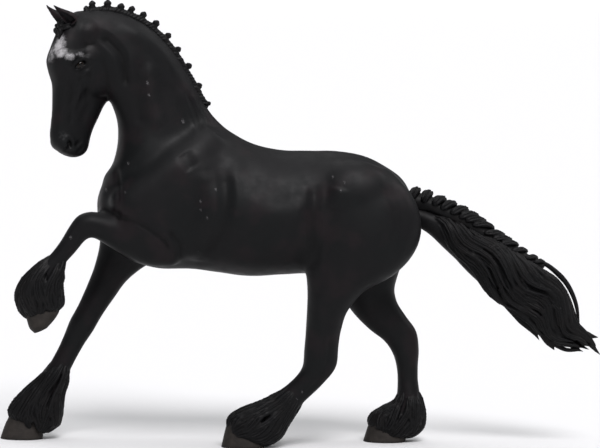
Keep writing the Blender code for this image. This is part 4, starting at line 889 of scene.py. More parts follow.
# An ear laid along X from its root, with its back up: sections as before
EAR = [
    (0, 1.6, 0, -1.6, 1.9, 0, 0, 2),
    (1.5, 1.5, 1.5, -1.5, 1.85, 0, 0, 2),
    (3, 1.15, 3, -1.25, 1.5, 0, 0, 2),
    (4.6, 0.7, 4.6, -0.85, 1, 0, 0, 2),
    (6.1, 0.4, 6.1, -0.35, 0.5, 0, 0, 2),
    (7.3, 0.35, 7.3, 0.1, 0.12, 0, 0, 2),
]
# What is scooped out of it
EAR_CUP = [
    (0.3, 0.5, 0.3, -2.6, 1.3, 0, 0, 2),
    (1.5, 0.6, 1.5, -2.6, 1.4, 0, 0, 2),
    (3, 0.4, 3, -2.4, 1.12, 0, 0, 2),
    (4.6, 0.2, 4.6, -2, 0.7, 0, 0, 2),
    (6.2, 0.1, 6.2, -1.2, 0.2, 0, 0, 2),
]
EAR_ROOT = (4.3, 3.1, 115.9)
EAR_LEAN = (0.81, -0.17, 0.56)
EAR_OPENING = math.radians(38)
EAR_SINK = 0.5


def ear_placement(name):
    """The turn and place of an ear on the straight head, with its root sunk in the skin."""
    sign = 1 if name == "ear_left" else -1
    lean = Vector((EAR_LEAN[0], sign * EAR_LEAN[1], EAR_LEAN[2])).normalized()
    back = lean.cross(Vector((0, 1, 0))).normalized()
    back = back * math.cos(EAR_OPENING) - Vector((0, sign, 0)) * math.sin(EAR_OPENING)
    across = back.cross(lean).normalized()
    back = lean.cross(across)
    turn = Matrix((lean, across, back)).transposed().to_4x4()
    root = Vector((EAR_ROOT[0], sign * EAR_ROOT[1], EAR_ROOT[2]))
    return Matrix.Translation(root - lean * EAR_SINK) @ turn


def ear(name):
    """A leaf-shaped ear with a cup that opens forwards and out."""
    shape = loft(name, EAR, EAR_SIDES, EAR_STEPS)
    cup = loft("cup", EAR_CUP, EAR_SIDES, EAR_STEPS)
    cut(shape, cup)
    place = ear_placement(name)
    shape.data.transform(Matrix.Scale(1 / MM, 4))
    shape.data.transform(Matrix.Scale(MM, 4) @ place)
    return voxel_skin(name, [place_on_head(shape)], EAR_VOXEL, EAR_SMOOTHING)


def eye(side):
    """An eyeball whose own +Z looks straight out of the head."""
    made = ball(f"eye_{side}", (0, 0, 0), EYE_RADII, segments=48, rings=32)
    place = eye_placement(1 if side == "left" else -1) @ Matrix.Translation((0, 0, -EYE_DEPTH))
    made.matrix_world = Matrix.Scale(MM, 4) @ place @ Matrix.Scale(1 / MM, 4)
    return made


HOOVES = {
    "fore_left": LEFT_FORE_HOOF,
    "fore_right": RIGHT_FORE_HOOF,
    "hind_left": LEFT_HIND_HOOF,
    "hind_right": RIGHT_HIND_HOOF,
}
HOOF_STEPS = 14
HOOF_SIDES = 56
# The rings of growth on the wall, and the rounding of its edges
HOOF_RING = 0.02
HOOF_RING_TURN = 2.1
HOOF_BEVEL = 0.18
HOOF_EDGE = math.radians(50)


def hoof(end):
    """A hoof with faint rings of growth."""
    rows = smooth_rows(HOOVES[end], HOOF_STEPS)
    bm = bmesh.new()
    rings = []
    for k, section in enumerate(rows):
        grow = HOOF_RING * math.sin(HOOF_RING_TURN * k) if 1 < k < len(rows) - 2 else 0.0
        rings.append([bm.verts.new(p) for p in ring(section, HOOF_SIDES, grow)])
    bridge(bm, rings)
    made = mesh_object(f"hoof_{end}", bm)
    bevel = made.modifiers.new("bevel", "BEVEL")
    bevel.width = HOOF_BEVEL * MM
    bevel.segments = 2
    bevel.limit_method = "ANGLE"
    bevel.angle_limit = HOOF_EDGE
    return applied(made)


FEATHERS = {
    "fore_left": LEFT_FORE_FEATHER,
    "fore_right": RIGHT_FORE_FEATHER,
    "hind_left": LEFT_HIND_FEATHER,
    "hind_right": RIGHT_HIND_FEATHER,
}
FEATHER_DEPTH = 1.0
# Tiers of locks on a foot: share of the length where they start and end, count, width, thickness, lift
FEATHER_TIERS = (
    (0.4, 1, 17, 2.7, 1.7, -0.15),
    (0.2, 0.86, 15, 2.6, 1.7, 0),
    (0, 0.66, 13, 2.4, 1.6, 0.05),
)
# How a lock sweeps round to the rear and waves, and how much longer and higher the rear locks are
FEATHER_SWEEP = 0.3
FEATHER_WAVE = 0.1
FEATHER_WAVES = 5.0
REAR_LENGTH = 0.1
REAR_RISE = 0.3
FLOOR_CLEARANCE = 0.15


def feather(end):
    """The long hair of one foot: ridged locks over a slimmer core, softened as a moulding has them."""
    draw = random.Random(end)
    rows = smooth_rows(FEATHERS[end], SPAN_STEPS)
    bm = bmesh.new()
    for start, stop, count, width, thickness, lift in FEATHER_TIERS:
        offset = draw.uniform(0, 6.3)
        for k in range(count):
            angle = offset + 2 * math.pi * (k + draw.uniform(-0.22, 0.22)) / count
            behind = 0.5 - 0.5 * math.cos(angle)
            first = start + draw.uniform(-0.08, 0.1)
            last = stop + REAR_LENGTH * behind + draw.uniform(-0.05, 0.06)
            phase = draw.uniform(0, 2 * math.pi)
            path = []
            for t in np.linspace(0, 1, LOCK_STATIONS):
                wave = FEATHER_WAVE * math.sin(phase + FEATHER_WAVES * t)
                bend = math.sin(angle) * FEATHER_SWEEP * t + wave
                path.append((first + (last - first) * t, angle + bend))
            add_lock(
                bm,
                rows,
                path,
                width * draw.uniform(0.85, 1.15),
                thickness,
                rise=draw.uniform(-0.2, 0.1) + REAR_RISE * behind,
                lift=lift,
                outline=TUFT_OUTLINE,
            )
    locks = mesh_object("locks", bm)
    core = loft("core", FEATHERS[end], grow=-FEATHER_DEPTH)
    made = voxel_skin(f"feather_{end}", [locks, core], HAIR_VOXEL, HAIR_SMOOTHING)
    return mark_relief(above_floor(made), HAIR_RELIEF)


def above_floor(obj):
    """Flattens what reaches below the floor."""
    co = numbers(obj.data.vertices, "co")
    co[:, 2] = np.maximum(co[:, 2], FLOOR_CLEARANCE * MM)
    obj.data.vertices.foreach_set("co", co.ravel())
    obj.data.update()
    return obj


# Crest line that the mane's roll lies on, as x, y, z
CREST = [
    (-59.4, -3.8, 118.5),
    (-57.0, -3.7, 118.9),
    (-53.5, -3.3, 119.2),
    (-50.0, -2.9, 118.7),
    (-46.1, -2.5, 117.3),
    (-42.8, -2.0, 115.5),
    (-39.8, -1.7, 113.1),
    (-37.0, -1.3, 110.3),
    (-34.1, -0.9, 106.5),
    (-31.6, -0.6, 102.4),
    (-29.5, -0.4, 99.0),
    (-27.5, -0.2, 95.4),
    (-26.0, 0.0, 92.8),
]
MANE_ROLL = 1.15
MANE_SINK = 0.6
MANE_STATIONS = 90
# The turns of the roll: how many, the angles each runs between, its size, its slant and how far it is sunk
MANE_TWISTS = 46
TWIST_ARC = 2.0
TWIST_STATIONS = 11
TWIST_WIDTH = 1.0
TWIST_THICKNESS = 0.55
TWIST_SLANT = 0.6
TWIST_SINK = 0.12
ROLL_SQUASH = 1.1
# Tops of the button plaits, as x, z, with their size
MANE_KNOBS = [
    (-59.5, 119.2, 0.85),
    (-57.9, 120.5, 1.0),
    (-53.7, 120.7, 1.1),
    (-50.0, 119.9, 1.05),
    (-47.0, 119.3, 0.95),
    (-43.8, 117.8, 1.0),
    (-40.3, 115.5, 1.05),
    (-36.9, 112.2, 0.95),
    (-34.1, 108.5, 0.9),
    (-31.1, 104.0, 0.95),
    (-28.2, 98.6, 0.95),
    (-25.5, 93.8, 0.7),
]
# A button plait in its own size: its radii, its stalk's radius and height, and its lobes as along the crest,
# across, up and radius
KNOB_RADII = (0.85, 0.95, 0.85)
KNOB_SINK = 0.2
STALK_RADIUS = 0.95
STALK_HEIGHT = 0.6
KNOB_LOBES = [
    (0.5, 0.1, 0.1, 0.55),
    (-0.4, 0.45, 0.0, 0.55),
    (-0.35, -0.5, 0.1, 0.55),
    (0.1, -0.1, 0.4, 0.6),
]


def mane():
    """The hair of the crest twisted into a low roll, with button plaits that stand on short stalks."""
    draw = random.Random(SEED)
    shares = np.linspace(0, 1, MANE_STATIONS)
    crest = smooth_rows(CREST, 8)
    line = np.array([crest_frame(crest, share)[0] for share in shares])
    radii = MANE_ROLL * np.clip(0.5 + 12 * np.minimum(shares, 1 - shares), 0, 1)
    pieces = [tube("roll", line, radii, sides=16, squash=ROLL_SQUASH)]
    bm = bmesh.new()
    arc = np.linspace(-TWIST_ARC, TWIST_ARC, TWIST_STATIONS)
    outline = np.interp(np.abs(arc), [TWIST_ARC / 2, TWIST_ARC], [1, 0.4])
    for k in range(MANE_TWISTS):
        centre, way, up = crest_frame(crest, (k + 0.5) / MANE_TWISTS)
        points = []
        for a in arc:
            around = up * math.cos(a) + np.array([0, ROLL_SQUASH, 0]) * math.sin(a)
            points.append(centre + around * (MANE_ROLL - TWIST_SINK) + way * a * TWIST_SLANT)
        points = np.array(points)
        widths = TWIST_WIDTH * draw.uniform(0.6, 1.3) * outline
        thicknesses = np.full(TWIST_STATIONS, TWIST_THICKNESS * draw.uniform(0.5, 1.3))
        sweep(bm, points, points - centre, widths, thicknesses, sides=8)
    pieces.append(mesh_object("twists", bm))
    for k, (x, z, size) in enumerate(MANE_KNOBS):
        near = np.argmin(np.hypot(line[:, 0] - x, line[:, 2] - z))
        base, way, up = crest_frame(crest, shares[near])
        top = np.array([x, base[1] + draw.uniform(-0.3, 0.3), z]) - up * KNOB_SINK
        stalk = base + (top - base) * STALK_HEIGHT
        pieces.append(ball(f"knob_{k}", top, tuple(size * radius for radius in KNOB_RADII)))
        pieces.append(ball(f"stalk_{k}", stalk, (size * STALK_RADIUS,) * 3))
        for lobe, (a, b, c, radius) in enumerate(KNOB_LOBES):
            place = top + (way * a + np.array([0.0, 1.0, 0.0]) * b + up * c) * size
            pieces.append(ball(f"lobe_{k}_{lobe}", place, (size * radius,) * 3, segments=16, rings=10))
    return mark_relief(voxel_skin("mane_plaits", pieces, MANE_VOXEL, HAIR_SMOOTHING), HAIR_RELIEF)


def crest_frame(crest, share):
    """The middle of the roll at a share of the crest, with the directions along it and away from the neck."""
    centre = line_points(crest, [share])[0]
    way = line_points(crest, [min(share + 0.01, 1)])[0] - line_points(crest, [max(share - 0.01, 0)])[0]
    way /= np.linalg.norm(way)
    up = np.cross(way, (0.0, 1.0, 0.0))
    up /= np.linalg.norm(up)
    return centre - up * MANE_SINK, way, up


# The forelock on the straight head: its core, the lumps of its knot with their radii, and what feeds it
FORELOCK = [(3.9, 0.0, 116.6), (5.6, 0.0, 115.4), (6.6, 0.3, 113.4)]
FORELOCK_LUMPS = [
    ((7.1, -0.8, 113.0), (0.85, 0.9, 0.9)),
    ((6.7, 0.4, 114.2), (0.7, 1.0, 0.6)),
    ((7.2, 1.3, 112.7), (0.75, 0.8, 1.1)),
    ((7.4, 0.3, 112.5), (0.8, 0.7, 0.9)),
    ((7.3, 1.2, 111.4), (0.45, 0.45, 0.9)),
    ((6.6, -1.2, 114.3), (0.7, 0.8, 0.6)),
]
FORELOCK_STRANDS = [
    [(4.4, 2.8, 115.0), (5.6, 2.2, 114.6), (6.8, 0.8, 113.9)],
    [(4.7, 3.0, 114.1), (5.9, 2.3, 113.8), (7.0, 1.0, 113.3)],
    [(4.6, 1.8, 116.0), (5.8, 1.3, 115.5), (6.8, 0.4, 114.5)],
    [(4.6, 0.3, 116.5), (5.8, 0.1, 115.8), (6.8, 0.0, 114.6)],
    [(4.4, -1.2, 116.3), (5.6, -0.9, 115.7), (6.7, -0.5, 114.5)],
    [(4.2, -2.4, 115.6), (5.4, -1.9, 115.1), (6.6, -1.0, 114.1)],
]
FORELOCK_STRAND_RADIUS = 0.5
FORELOCK_STATIONS = 12
FORELOCK_VOXEL = 0.13


def forelock():
    """The forelock: strands from between the ears, gathered into a lumpy knot."""
    pieces = []
    shares = np.linspace(0, 1, FORELOCK_STATIONS)
    outline = np.interp(shares, [0, 0.3, 1], [0.5, 1, 0.9])
    for k, points in enumerate([FORELOCK] + FORELOCK_STRANDS):
        radius = 1.0 if k == 0 else FORELOCK_STRAND_RADIUS
        pieces.append(tube(f"strand_{k}", line_points(smooth_rows(points, 6), shares), outline * radius))
    for k, (centre, radii) in enumerate(FORELOCK_LUMPS):
        pieces.append(ball(f"lump_{k}", centre, radii, segments=20, rings=12))
    pieces = [place_on_head(obj) for obj in pieces]
    return mark_relief(voxel_skin("forelock_plait", pieces, FORELOCK_VOXEL, HAIR_SMOOTHING), HAIR_RELIEF)


# Tops of the plait's lobes along the dock, as x, z
PLAIT_TOPS = [
    (32.6, 70.6),
    (35.9, 69.6),
    (39.4, 68.0),
    (42.6, 66.6),
    (45.7, 65.1),
    (48.7, 63.4),
    (51.2, 61.8),
    (53.6, 60.2),
    (56.0, 58.6),
    (58.2, 57.0),
    (60.4, 55.4),
    (62.8, 53.7),
    (65.6, 52.2),
    (68.0, 50.9),
]
PLAIT_DEPTH = 0.7
PLAIT_SLANT = 0.09
PLAIT_WIDTH = 2.5
PLAIT_THICKNESS = 2.5
PLAIT_STATIONS = 14
PLAIT_SIDES = 24
# How much smaller the last lobe is, how far the two sides are out of step, and the angles a lobe runs between
PLAIT_TAPER = 0.4
PLAIT_STEP = 0.006
PLAIT_START = 1.35
PLAIT_SPAN = 1.2
# How far a lobe bulges, how far its end rises, and its outline as shares of its length and width
PLAIT_BULGE = 0.75
PLAIT_RISE = 0.4
PLAIT_OUTLINE = [(0.0, 0.4), (0.2, 0.85), (0.6, 1.0), (0.92, 0.95), (1.0, 0.65)]


def tail_plait():
    """The dock and the plait along its top, whose fat lobes come up from both sides."""
    rows = smooth_rows(DOCK, SPAN_STEPS)
    tops = np.array([(section[0], section[1]) for section in rows])
    shares = np.linspace(0, 1, PLAIT_STATIONS)
    profile = np.interp(shares, *zip(*PLAIT_OUTLINE))
    bm = bmesh.new()
    for k, top in enumerate(PLAIT_TOPS):
        near = np.hypot(*(tops - top).T)
        place = int(np.argmin(near)) / (len(rows) - 1)
        size = 1.0 - PLAIT_TAPER * (k / (len(PLAIT_TOPS) - 1)) ** 1.5
        for sign in (-1, 1):
            centres = []
            outward = []
            for share in shares:
                along = place + PLAIT_SLANT * (share - 1) * size + PLAIT_STEP * sign
                section = section_at(rows, max(along, 0))
                bulge = math.sin(math.pi * min(0.08 + share * 0.8, 1))
                height = -PLAIT_DEPTH + (PLAIT_BULGE * bulge + PLAIT_RISE * share**2) * size
                angle = sign * (PLAIT_START - PLAIT_SPAN * share)
                centres.append(ring_point(section, angle, height))
                outward.append(ring_point(section, angle, height + 1.0) - centres[-1])
            widths = profile * PLAIT_WIDTH * size
            thicknesses = profile * PLAIT_THICKNESS * size
            sweep(bm, np.array(centres), np.array(outward), widths, thicknesses, PLAIT_SIDES, ridges=3)
    pieces = [loft("dock", DOCK, grow=-PLAIT_DEPTH), mesh_object("strands", bm)]
    return mark_relief(voxel_skin("tail_plait", pieces, HAIR_VOXEL, HAIR_SMOOTHING), HAIR_RELIEF)


# Tiers of tail locks on each side: where the first and the last start, their length, count, the angles where
# the first and the last end, width, thickness, lift
TAIL_TIERS = (
    (0, 0.35, 0.62, 7, 2.75, 1.2, 2.9, 2, -0.35),
    (0.04, 0.6, 0.6, 8, 2.5, 0.7, 2.6, 2, -0.1),
    (0, 0.62, 0.46, 9, 2, 0.45, 2, 1.9, 0.15),
)
# The lower tier, which hangs from the middle of the tail: start, length, count, width, thickness, lift
TAIL_ENDS = (
    (0.5, 0.5, 7, 2.6, 1.9, -0.3),
    (0.6, 0.42, 7, 1.9, 1.7, 0.1),
)
TAIL_HAIR_DEPTH = 1.6
TAIL_VOXEL = 0.15
TAIL_WAVE = 0.2
TAIL_WAVES = 3.6
TAIL_LAG = 0.9
STRAND_STEPS = 6
# The angle where locks leave the plait, and how early they turn to where they end
LOCK_START = 0.25
LOCK_EARLY = 1.7
# The angles of the lower tier: the first, and the span of all
ENDS_START = 0.15
ENDS_SPAN = 2.8
# Strands that stand clear of the tail's outline: thickest radius, y of the root, and points as x, z
TAIL_STRANDS = [
    (0.8, 0.0, [(66.0, 51.6), (69.0, 50.2), (72.1, 47.7), (74.5, 45.0),
                (76.4, 41.4), (77.4, 38.0), (77.9, 34.1), (78.2, 31.2)]),
    (1.4, 0.4, [(72.0, 37.0), (76.9, 33.0), (79.0, 31.6), (81.2, 30.8), (83.5, 30.4)]),
    (1.0, -0.6, [(72.0, 35.0), (76.7, 31.2), (79.3, 28.9), (81.6, 27.9)]),
    (0.8, 0.2, [(66.0, 34.0), (69.7, 29.9), (71.4, 28.4), (74.5, 26.9), (77.9, 26.8), (79.5, 26.4)]),
    (0.9, 1.2, [(70.5, 34.0), (74.5, 30.0), (77.5, 27.6), (78.6, 26.9)]),
    (1.1, -0.8, [(64.6, 35.4), (69.1, 29.6), (70.3, 28.2), (71.3, 26.7)]),
    (1.0, 0.5, [(57.0, 39.6), (61.5, 35.2), (64.2, 32.9), (65.8, 31.3), (67.1, 29.3)]),
    (0.9, -1.0, [(49.0, 48.0), (52.2, 43.8), (54.2, 41.2), (55.8, 39.2)]),
]


def tail_flow(draw, first, last, begin, end):
    """The path of a tail lock, which leaves the plait and runs back in waves that its neighbours share."""
    shift = draw.uniform(-0.5, 0.5)
    path = []
    for t in np.linspace(0, 1, LOCK_STATIONS):
        share = first + (last - first) * t
        angle = begin + (end - begin) * (1 - (1 - t) ** LOCK_EARLY)
        wave = math.sin(2 * math.pi * TAIL_WAVES * share + shift + TAIL_LAG * angle)
        path.append((share, angle + TAIL_WAVE * min(1.0, t * 3) * wave))
    return path


def tail_locks():
    """The loose hair of the tail: ridged wavy locks that leave the plait and run down and back."""
    draw = random.Random(SEED + 2)
    rows = smooth_rows(TAIL_HAIR, SPAN_STEPS)
    bm = bmesh.new()
    for sign in (-1, 1):
        locks = []
        for start, stop, length, count, low, high, width, thickness, lift in TAIL_TIERS:
            for k in range(count):
                t = k / (count - 1)
                first = start + (stop - start) * t + draw.uniform(-0.02, 0.02)
                end = low + (high - low) * t + draw.uniform(-0.12, 0.12)
                path = tail_flow(draw, first, first + length * draw.uniform(0.85, 1.1), LOCK_START, end)
                locks.append((path, width, thickness, lift))
        for start, length, count, width, thickness, lift in TAIL_ENDS:
            for k in range(count):
                angle = ENDS_START + ENDS_SPAN * (k + 0.5) / count + draw.uniform(-0.1, 0.1)
                first = start + draw.uniform(-0.08, 0.08)
                last = first + length * draw.uniform(0.85, 1.1)
                path = tail_flow(draw, first, last, angle - 0.15, angle + 0.1)
                locks.append((path, width, thickness, lift))
        for path, width, thickness, lift in locks:
            path = [(share, sign * angle) for share, angle in path]
            width *= draw.uniform(0.8, 1.2)
            add_lock(bm, rows, path, width, thickness, draw.uniform(0.0, 0.4), lift)
    for radius, y, points in TAIL_STRANDS:
        places = [(x, y * (1 - k / len(points)), z) for k, (x, z) in enumerate(points)]
        line = smooth_rows(places, STRAND_STEPS)
        shares = np.linspace(0, 1, len(line))
        sizes = 2 * radius * np.interp(shares, [0, 0.3, 0.7, 1], [0.7, 1, 0.7, 0.08])
        sweep(bm, line, np.tile([0.0, -1.0, 0.0], (len(line), 1)), sizes, sizes * 0.8, 10)
    core = loft("core", TAIL_HAIR, grow=-TAIL_HAIR_DEPTH)
    solids = [mesh_object("locks", bm), core, loft("root", TAIL_ROOT)]
    made = voxel_skin("tail_locks", solids, TAIL_VOXEL, HAIR_SMOOTHING)
    return fewer(mark_relief(made, HAIR_RELIEF), SKIN_TRIANGLES)


# Rounds of smoothing that the relief of a piece is measured against
SKIN_RELIEF = 10
HAIR_RELIEF = 12


def mark_relief(obj, rounds):
    """Stores how many millimetres each point stands proud of its surroundings, for the finishes to read."""
    mesh = obj.data
    count = len(mesh.vertices)
    co = numbers(mesh.vertices, "co") / MM
    normal = numbers(mesh.vertex_normals, "vector")
    edges = numbers(mesh.edges, "vertices", 2, np.int32)
    start = np.concatenate([edges[:, 0], edges[:, 1]])
    end = np.concatenate([edges[:, 1], edges[:, 0]])
    degree = np.maximum(np.bincount(start, minlength=count), 1)
    level = co
    for _ in range(rounds):
        level = np.stack([np.bincount(start, level[end, k], count) / degree for k in range(3)], axis=1)
    relief = ((co - level) * normal).sum(axis=1)
    mesh.attributes.new("relief", "FLOAT", "POINT").data.foreach_set("value", relief.astype(np.float32))
    return obj


# How the satin paint mirrors its surroundings
SHEEN = 0.62
GLINT = 1.2


def node(tree, kind, inputs=None, **settings):
    """A shader node with its settings, and its inputs set or linked."""
    made = tree.nodes.new(kind)
    for key, value in settings.items():
        setattr(made, key, value)
    for key, value in (inputs or {}).items():
        if isinstance(value, bpy.types.NodeSocket):
            tree.links.new(value, made.inputs[key])
        else:
            made.inputs[key].default_value = value
    return made


def maths(tree, operation, a, b=0.0, clamp=False):
    return node(tree, "ShaderNodeMath", {0: a, 1: b}, operation=operation, use_clamp=clamp).outputs[0]


def noise(tree, vector, scale, detail=2.0, roughness=0.5):
    inputs = {"Vector": vector, "Scale": scale, "Detail": detail, "Roughness": roughness}
    return node(tree, "ShaderNodeTexNoise", inputs).outputs["Fac"]


def ramp(tree, factor, low, high):
    """0 up to low and 1 from high, smoothly between."""
    inputs = {"Value": factor, "From Min": low, "From Max": high}
    return node(tree, "ShaderNodeMapRange", inputs, interpolation_type="SMOOTHSTEP").outputs[0]


def spread(tree, factor, low, high, start=0.0, end=1.0):
    """A number from low to high, as the factor goes from start to end."""
    inputs = {"Value": factor, "From Min": start, "From Max": end, "To Min": low, "To Max": high}
    return node(tree, "ShaderNodeMapRange", inputs).outputs[0]


def mix(tree, factor, a, b):
    """A colour between two, each a socket or three numbers."""
    made = tree.nodes.new("ShaderNodeMix")
    made.data_type = "RGBA"
    for socket, value in ((made.inputs["Factor"], factor), (made.inputs[6], a), (made.inputs[7], b)):
        if isinstance(value, bpy.types.NodeSocket):
            tree.links.new(value, socket)
        elif isinstance(value, tuple):
            socket.default_value = (*value, 1.0)
        else:
            socket.default_value = value
    return made.outputs[2]


def new_material(name):
    made = bpy.data.materials.new(name)
    made.use_nodes = True
    tree = made.node_tree
    place = node(tree, "ShaderNodeTexCoord").outputs["Object"]
    millimetres = node(tree, "ShaderNodeVectorMath", {0: place, "Scale": 1 / MM}, operation="SCALE")
    return made, tree, millimetres.outputs[0]


def finish(made, colour, rough, height, strength, depth, ior=GLINT, sheen=SHEEN):
    """Gives a material its colour, roughness, bump of a depth in millimetres, and way of mirroring."""
    tree = made.node_tree
    shader = tree.nodes["Principled BSDF"]
    bump = node(tree, "ShaderNodeBump", {"Strength": strength, "Distance": depth * MM, "Height": height})
    tree.links.new(colour, shader.inputs["Base Color"])
    tree.links.new(rough, shader.inputs["Roughness"])
    tree.links.new(bump.outputs[0], shader.inputs["Normal"])
    shader.inputs["Specular IOR Level"].default_value = sheen
    shader.inputs["IOR"].default_value = ior
    return made


def spot(tree, place, centre, radii, axes):
    """How far each point lies from a centre, in radii along three axes."""
    offset = node(tree, "ShaderNodeVectorMath", {0: place, 1: centre}, operation="SUBTRACT").outputs[0]
    total = None
    for axis, radius in zip(axes, radii):
        scaled = tuple(v / radius for v in axis)
        run = node(tree, "ShaderNodeVectorMath", {0: offset, 1: scaled}, operation="DOT_PRODUCT")
        square = maths(tree, "MULTIPLY", run.outputs["Value"], run.outputs["Value"])
        total = square if total is None else maths(tree, "ADD", total, square)
    return maths(tree, "SQRT", total)


# Colours of the paints
COAT = (0.0043, 0.0041, 0.0047)
COAT_COOL = (0.0036, 0.0040, 0.0044)
COAT_WARM = (0.0075, 0.0055, 0.0064)
HAIR = (0.0028, 0.0028, 0.0032)
HAIR_WARM = (0.0040, 0.0035, 0.0037)
# Painted highlight of the hair's ridges
HAIR_PAINTED_HIGHLIGHT = (0.0062, 0.0061, 0.0069)
STAR = (0.42, 0.41, 0.42)
# Painted shade, for the hollows of the skin, the grooves of the hair and round the eyes
PAINTED_SHADE_BLACK = (0.0012, 0.0012, 0.0014)
SCUFF = (0.16, 0.155, 0.16)
EAR_INSIDE = (0.013, 0.0085, 0.0095)
HOOF = (0.0185, 0.0160, 0.0145)
HOOF_PALE = (0.0285, 0.0245, 0.0220)
HOOF_DARK = (0.0090, 0.0080, 0.0075)
PUPIL = (0.002, 0.002, 0.002)
IRIS = (0.0075, 0.0048, 0.0035)
EYE_GLINT = 1.28
EYE_SHEEN = 0.5

# Marks on the head, as ahead, left, z on the straight head: centre and radii
STAR_FORMS = [
    ((7.8, 1.7, 109.0), (3.2, 2.3, 3.9), 1.0),
    ((7.9, 3.0, 107.2), (2.8, 2.1, 2.0), 0.95),
    ((6.3, 4.7, 106.1), (2.3, 1.9, 1.3), 0.75),
    ((3.6, 5.6, 106.7), (2.0, 1.6, 0.9), 0.55),
    ((8.9, 0.4, 107.2), (2.8, 2.6, 4.0), 0.6),
    ((9.4, 0.2, 105.4), (2.0, 1.8, 1.5), 0.6),
]
# Radii of the painted shade round each eye, along its lids, up and along its gaze
EYE_PAINTED_SHADE = (3.0, 1.9, 2.4)
MUZZLE_MARK = ((7.2, 3.0, 84.6), (1.6, 1.8, 1.7))
# Small scuffs of the near side where the paint has rubbed off, as x, z and size, and how all are drawn out
SCUFFS = [
    (-42.6, 99.2, 0.8),
    (-42.2, 96.0, 0.7),
    (-32.8, 89.0, 0.9),
    (-47.6, 77.6, 0.7),
    (-53.4, 70.0, 0.6),
    (-48.4, 69.8, 0.5),
    (-24.0, 71.0, 0.7),
    (-28.0, 67.8, 0.7),
    (-28.0, 65.4, 0.6),
    (-26.2, 63.4, 0.6),
    (7.8, 74.8, 0.6),
    (10.8, 73.4, 0.6),
    (9.8, 71.2, 0.6),
    (-62.8, 57.2, 0.8),
    (0.6, 15.8, 0.6),
    (-0.8, 13.6, 0.6),
    (-4.4, 11.2, 0.9),
]
SCUFF_RADII = (1.0, 60.0, 1.7)
SCUFF_AXES = ((0.94, 0, 0.34), (0, 1, 0), (-0.34, 0, 0.94))
SCUFF_STRENGTH = 0.6
MUZZLE_STRENGTH = 0.06


def head_spot(tree, place, centre, radii):
    """How far each point lies from a place on the head, in radii ahead, left and up."""
    cos = math.cos(HEAD_YAW)
    sin = math.sin(HEAD_YAW)
    axes = ((-cos, -sin, 0.0), (sin, -cos, 0.0), (0.0, 0.0, 1.0))
    return spot(tree, place, tuple(float(v) for v in turn_head(centre)), radii, axes)


def star_share(tree, place, speckle, fine):
    """How much of the star's paint each point holds, broken up into specks."""
    star = 0.0
    for centre, radii, strength in STAR_FORMS:
        inside = ramp(tree, head_spot(tree, place, centre, radii), 1.25, 0.15)
        star = maths(tree, "MAXIMUM", star, maths(tree, "MULTIPLY", inside, strength))
    grain = maths(tree, "ADD", maths(tree, "MULTIPLY", speckle, 1.5), maths(tree, "MULTIPLY", fine, 0.5))
    grain = maths(tree, "ADD", maths(tree, "MULTIPLY", star, 1.1), grain)
    return maths(tree, "MULTIPLY", ramp(tree, grain, 1.1, 2.5), ramp(tree, star, 0.0, 0.3))


def scuff_share(tree, place, fine):
    """How far the paint of the near side is rubbed off."""
    near = 0.0
    for x, z, size in SCUFFS:
        radii = (size * SCUFF_RADII[0], SCUFF_RADII[1], size * SCUFF_RADII[2])
        reach = spot(tree, place, (x, 0.0, z), radii, SCUFF_AXES)
        near = maths(tree, "MAXIMUM", near, ramp(tree, reach, 1.3, 0.2))
    split = node(tree, "ShaderNodeSeparateXYZ", {0: place}).outputs
    near = maths(tree, "MULTIPLY", near, ramp(tree, split["Y"], -0.5, -2.5))
    return ramp(tree, maths(tree, "ADD", maths(tree, "MULTIPLY", near, 0.65), fine), 1.05, 1.3)


def coat_material():
    """Satin black plastic, with the dry-brushed star, the grey of the muzzle, small scuffs, and painted shade
    in the hollows and round the eyes.
    """
    made, tree, place = new_material("coat_plastic")
    broad = noise(tree, place, 0.07, 2.0)
    warm = noise(tree, place, 0.11, 3.0)
    colour = mix(tree, ramp(tree, broad, 0.35, 0.65), COAT_COOL, COAT)
    colour = mix(tree, ramp(tree, warm, 0.5, 0.68), colour, COAT_WARM)
    # Painted shade: skin that lies below its surroundings, in hollows and creases, is darkened towards black
    relief = node(tree, "ShaderNodeAttribute", attribute_name="relief").outputs["Fac"]
    colour = mix(tree, maths(tree, "MULTIPLY", ramp(tree, relief, 0.0, -0.14), 0.8), colour, PAINTED_SHADE_BLACK)
    speckle = noise(tree, place, 1.3, 4.0, 0.65)
    fine = noise(tree, place, 4.2, 2.0, 0.6)
    star = star_share(tree, place, speckle, fine)
    colour = mix(tree, star, colour, STAR)
    muzzle = ramp(tree, head_spot(tree, place, *MUZZLE_MARK), 1.2, 0.2)
    muzzle = maths(tree, "MULTIPLY", muzzle, ramp(tree, speckle, 0.45, 0.7))
    colour = mix(tree, maths(tree, "MULTIPLY", muzzle, MUZZLE_STRENGTH), colour, STAR)
    scuff = scuff_share(tree, place, fine)
    colour = mix(tree, maths(tree, "MULTIPLY", scuff, SCUFF_STRENGTH), colour, SCUFF)
    # Painted shade round each eye, which darkens the lids and the creases about them towards black
    for sign in (-1, 1):
        around = eye_placement(sign)
        axes = tuple(tuple(column) for column in around.to_3x3().transposed())
        reach = spot(tree, place, tuple(around.translation), EYE_PAINTED_SHADE, axes)
        colour = mix(tree, ramp(tree, reach, 1.0, 0.55), colour, PAINTED_SHADE_BLACK)
    rough = spread(tree, noise(tree, place, 0.35, 3.0), 0.44, 0.56, 0.3, 0.7)
    rough = maths(tree, "ADD", rough, maths(tree, "MULTIPLY", star, 0.25), clamp=True)
    return finish(made, colour, rough, noise(tree, place, 2.6, 4.0, 0.6), 0.12, 0.04)


def ear_material():
    """The coat's black, with the purplish brown of the ear's inside."""
    made, tree, place = new_material("ear_plastic")
    tone = noise(tree, place, 0.5, 3.0)
    colour = mix(tree, ramp(tree, tone, 0.4, 0.62), COAT, EAR_INSIDE)
    rough = spread(tree, noise(tree, place, 0.8, 2.0), 0.45, 0.62)
    return finish(made, colour, rough, noise(tree, place, 3.0, 4.0), 0.15, 0.04)


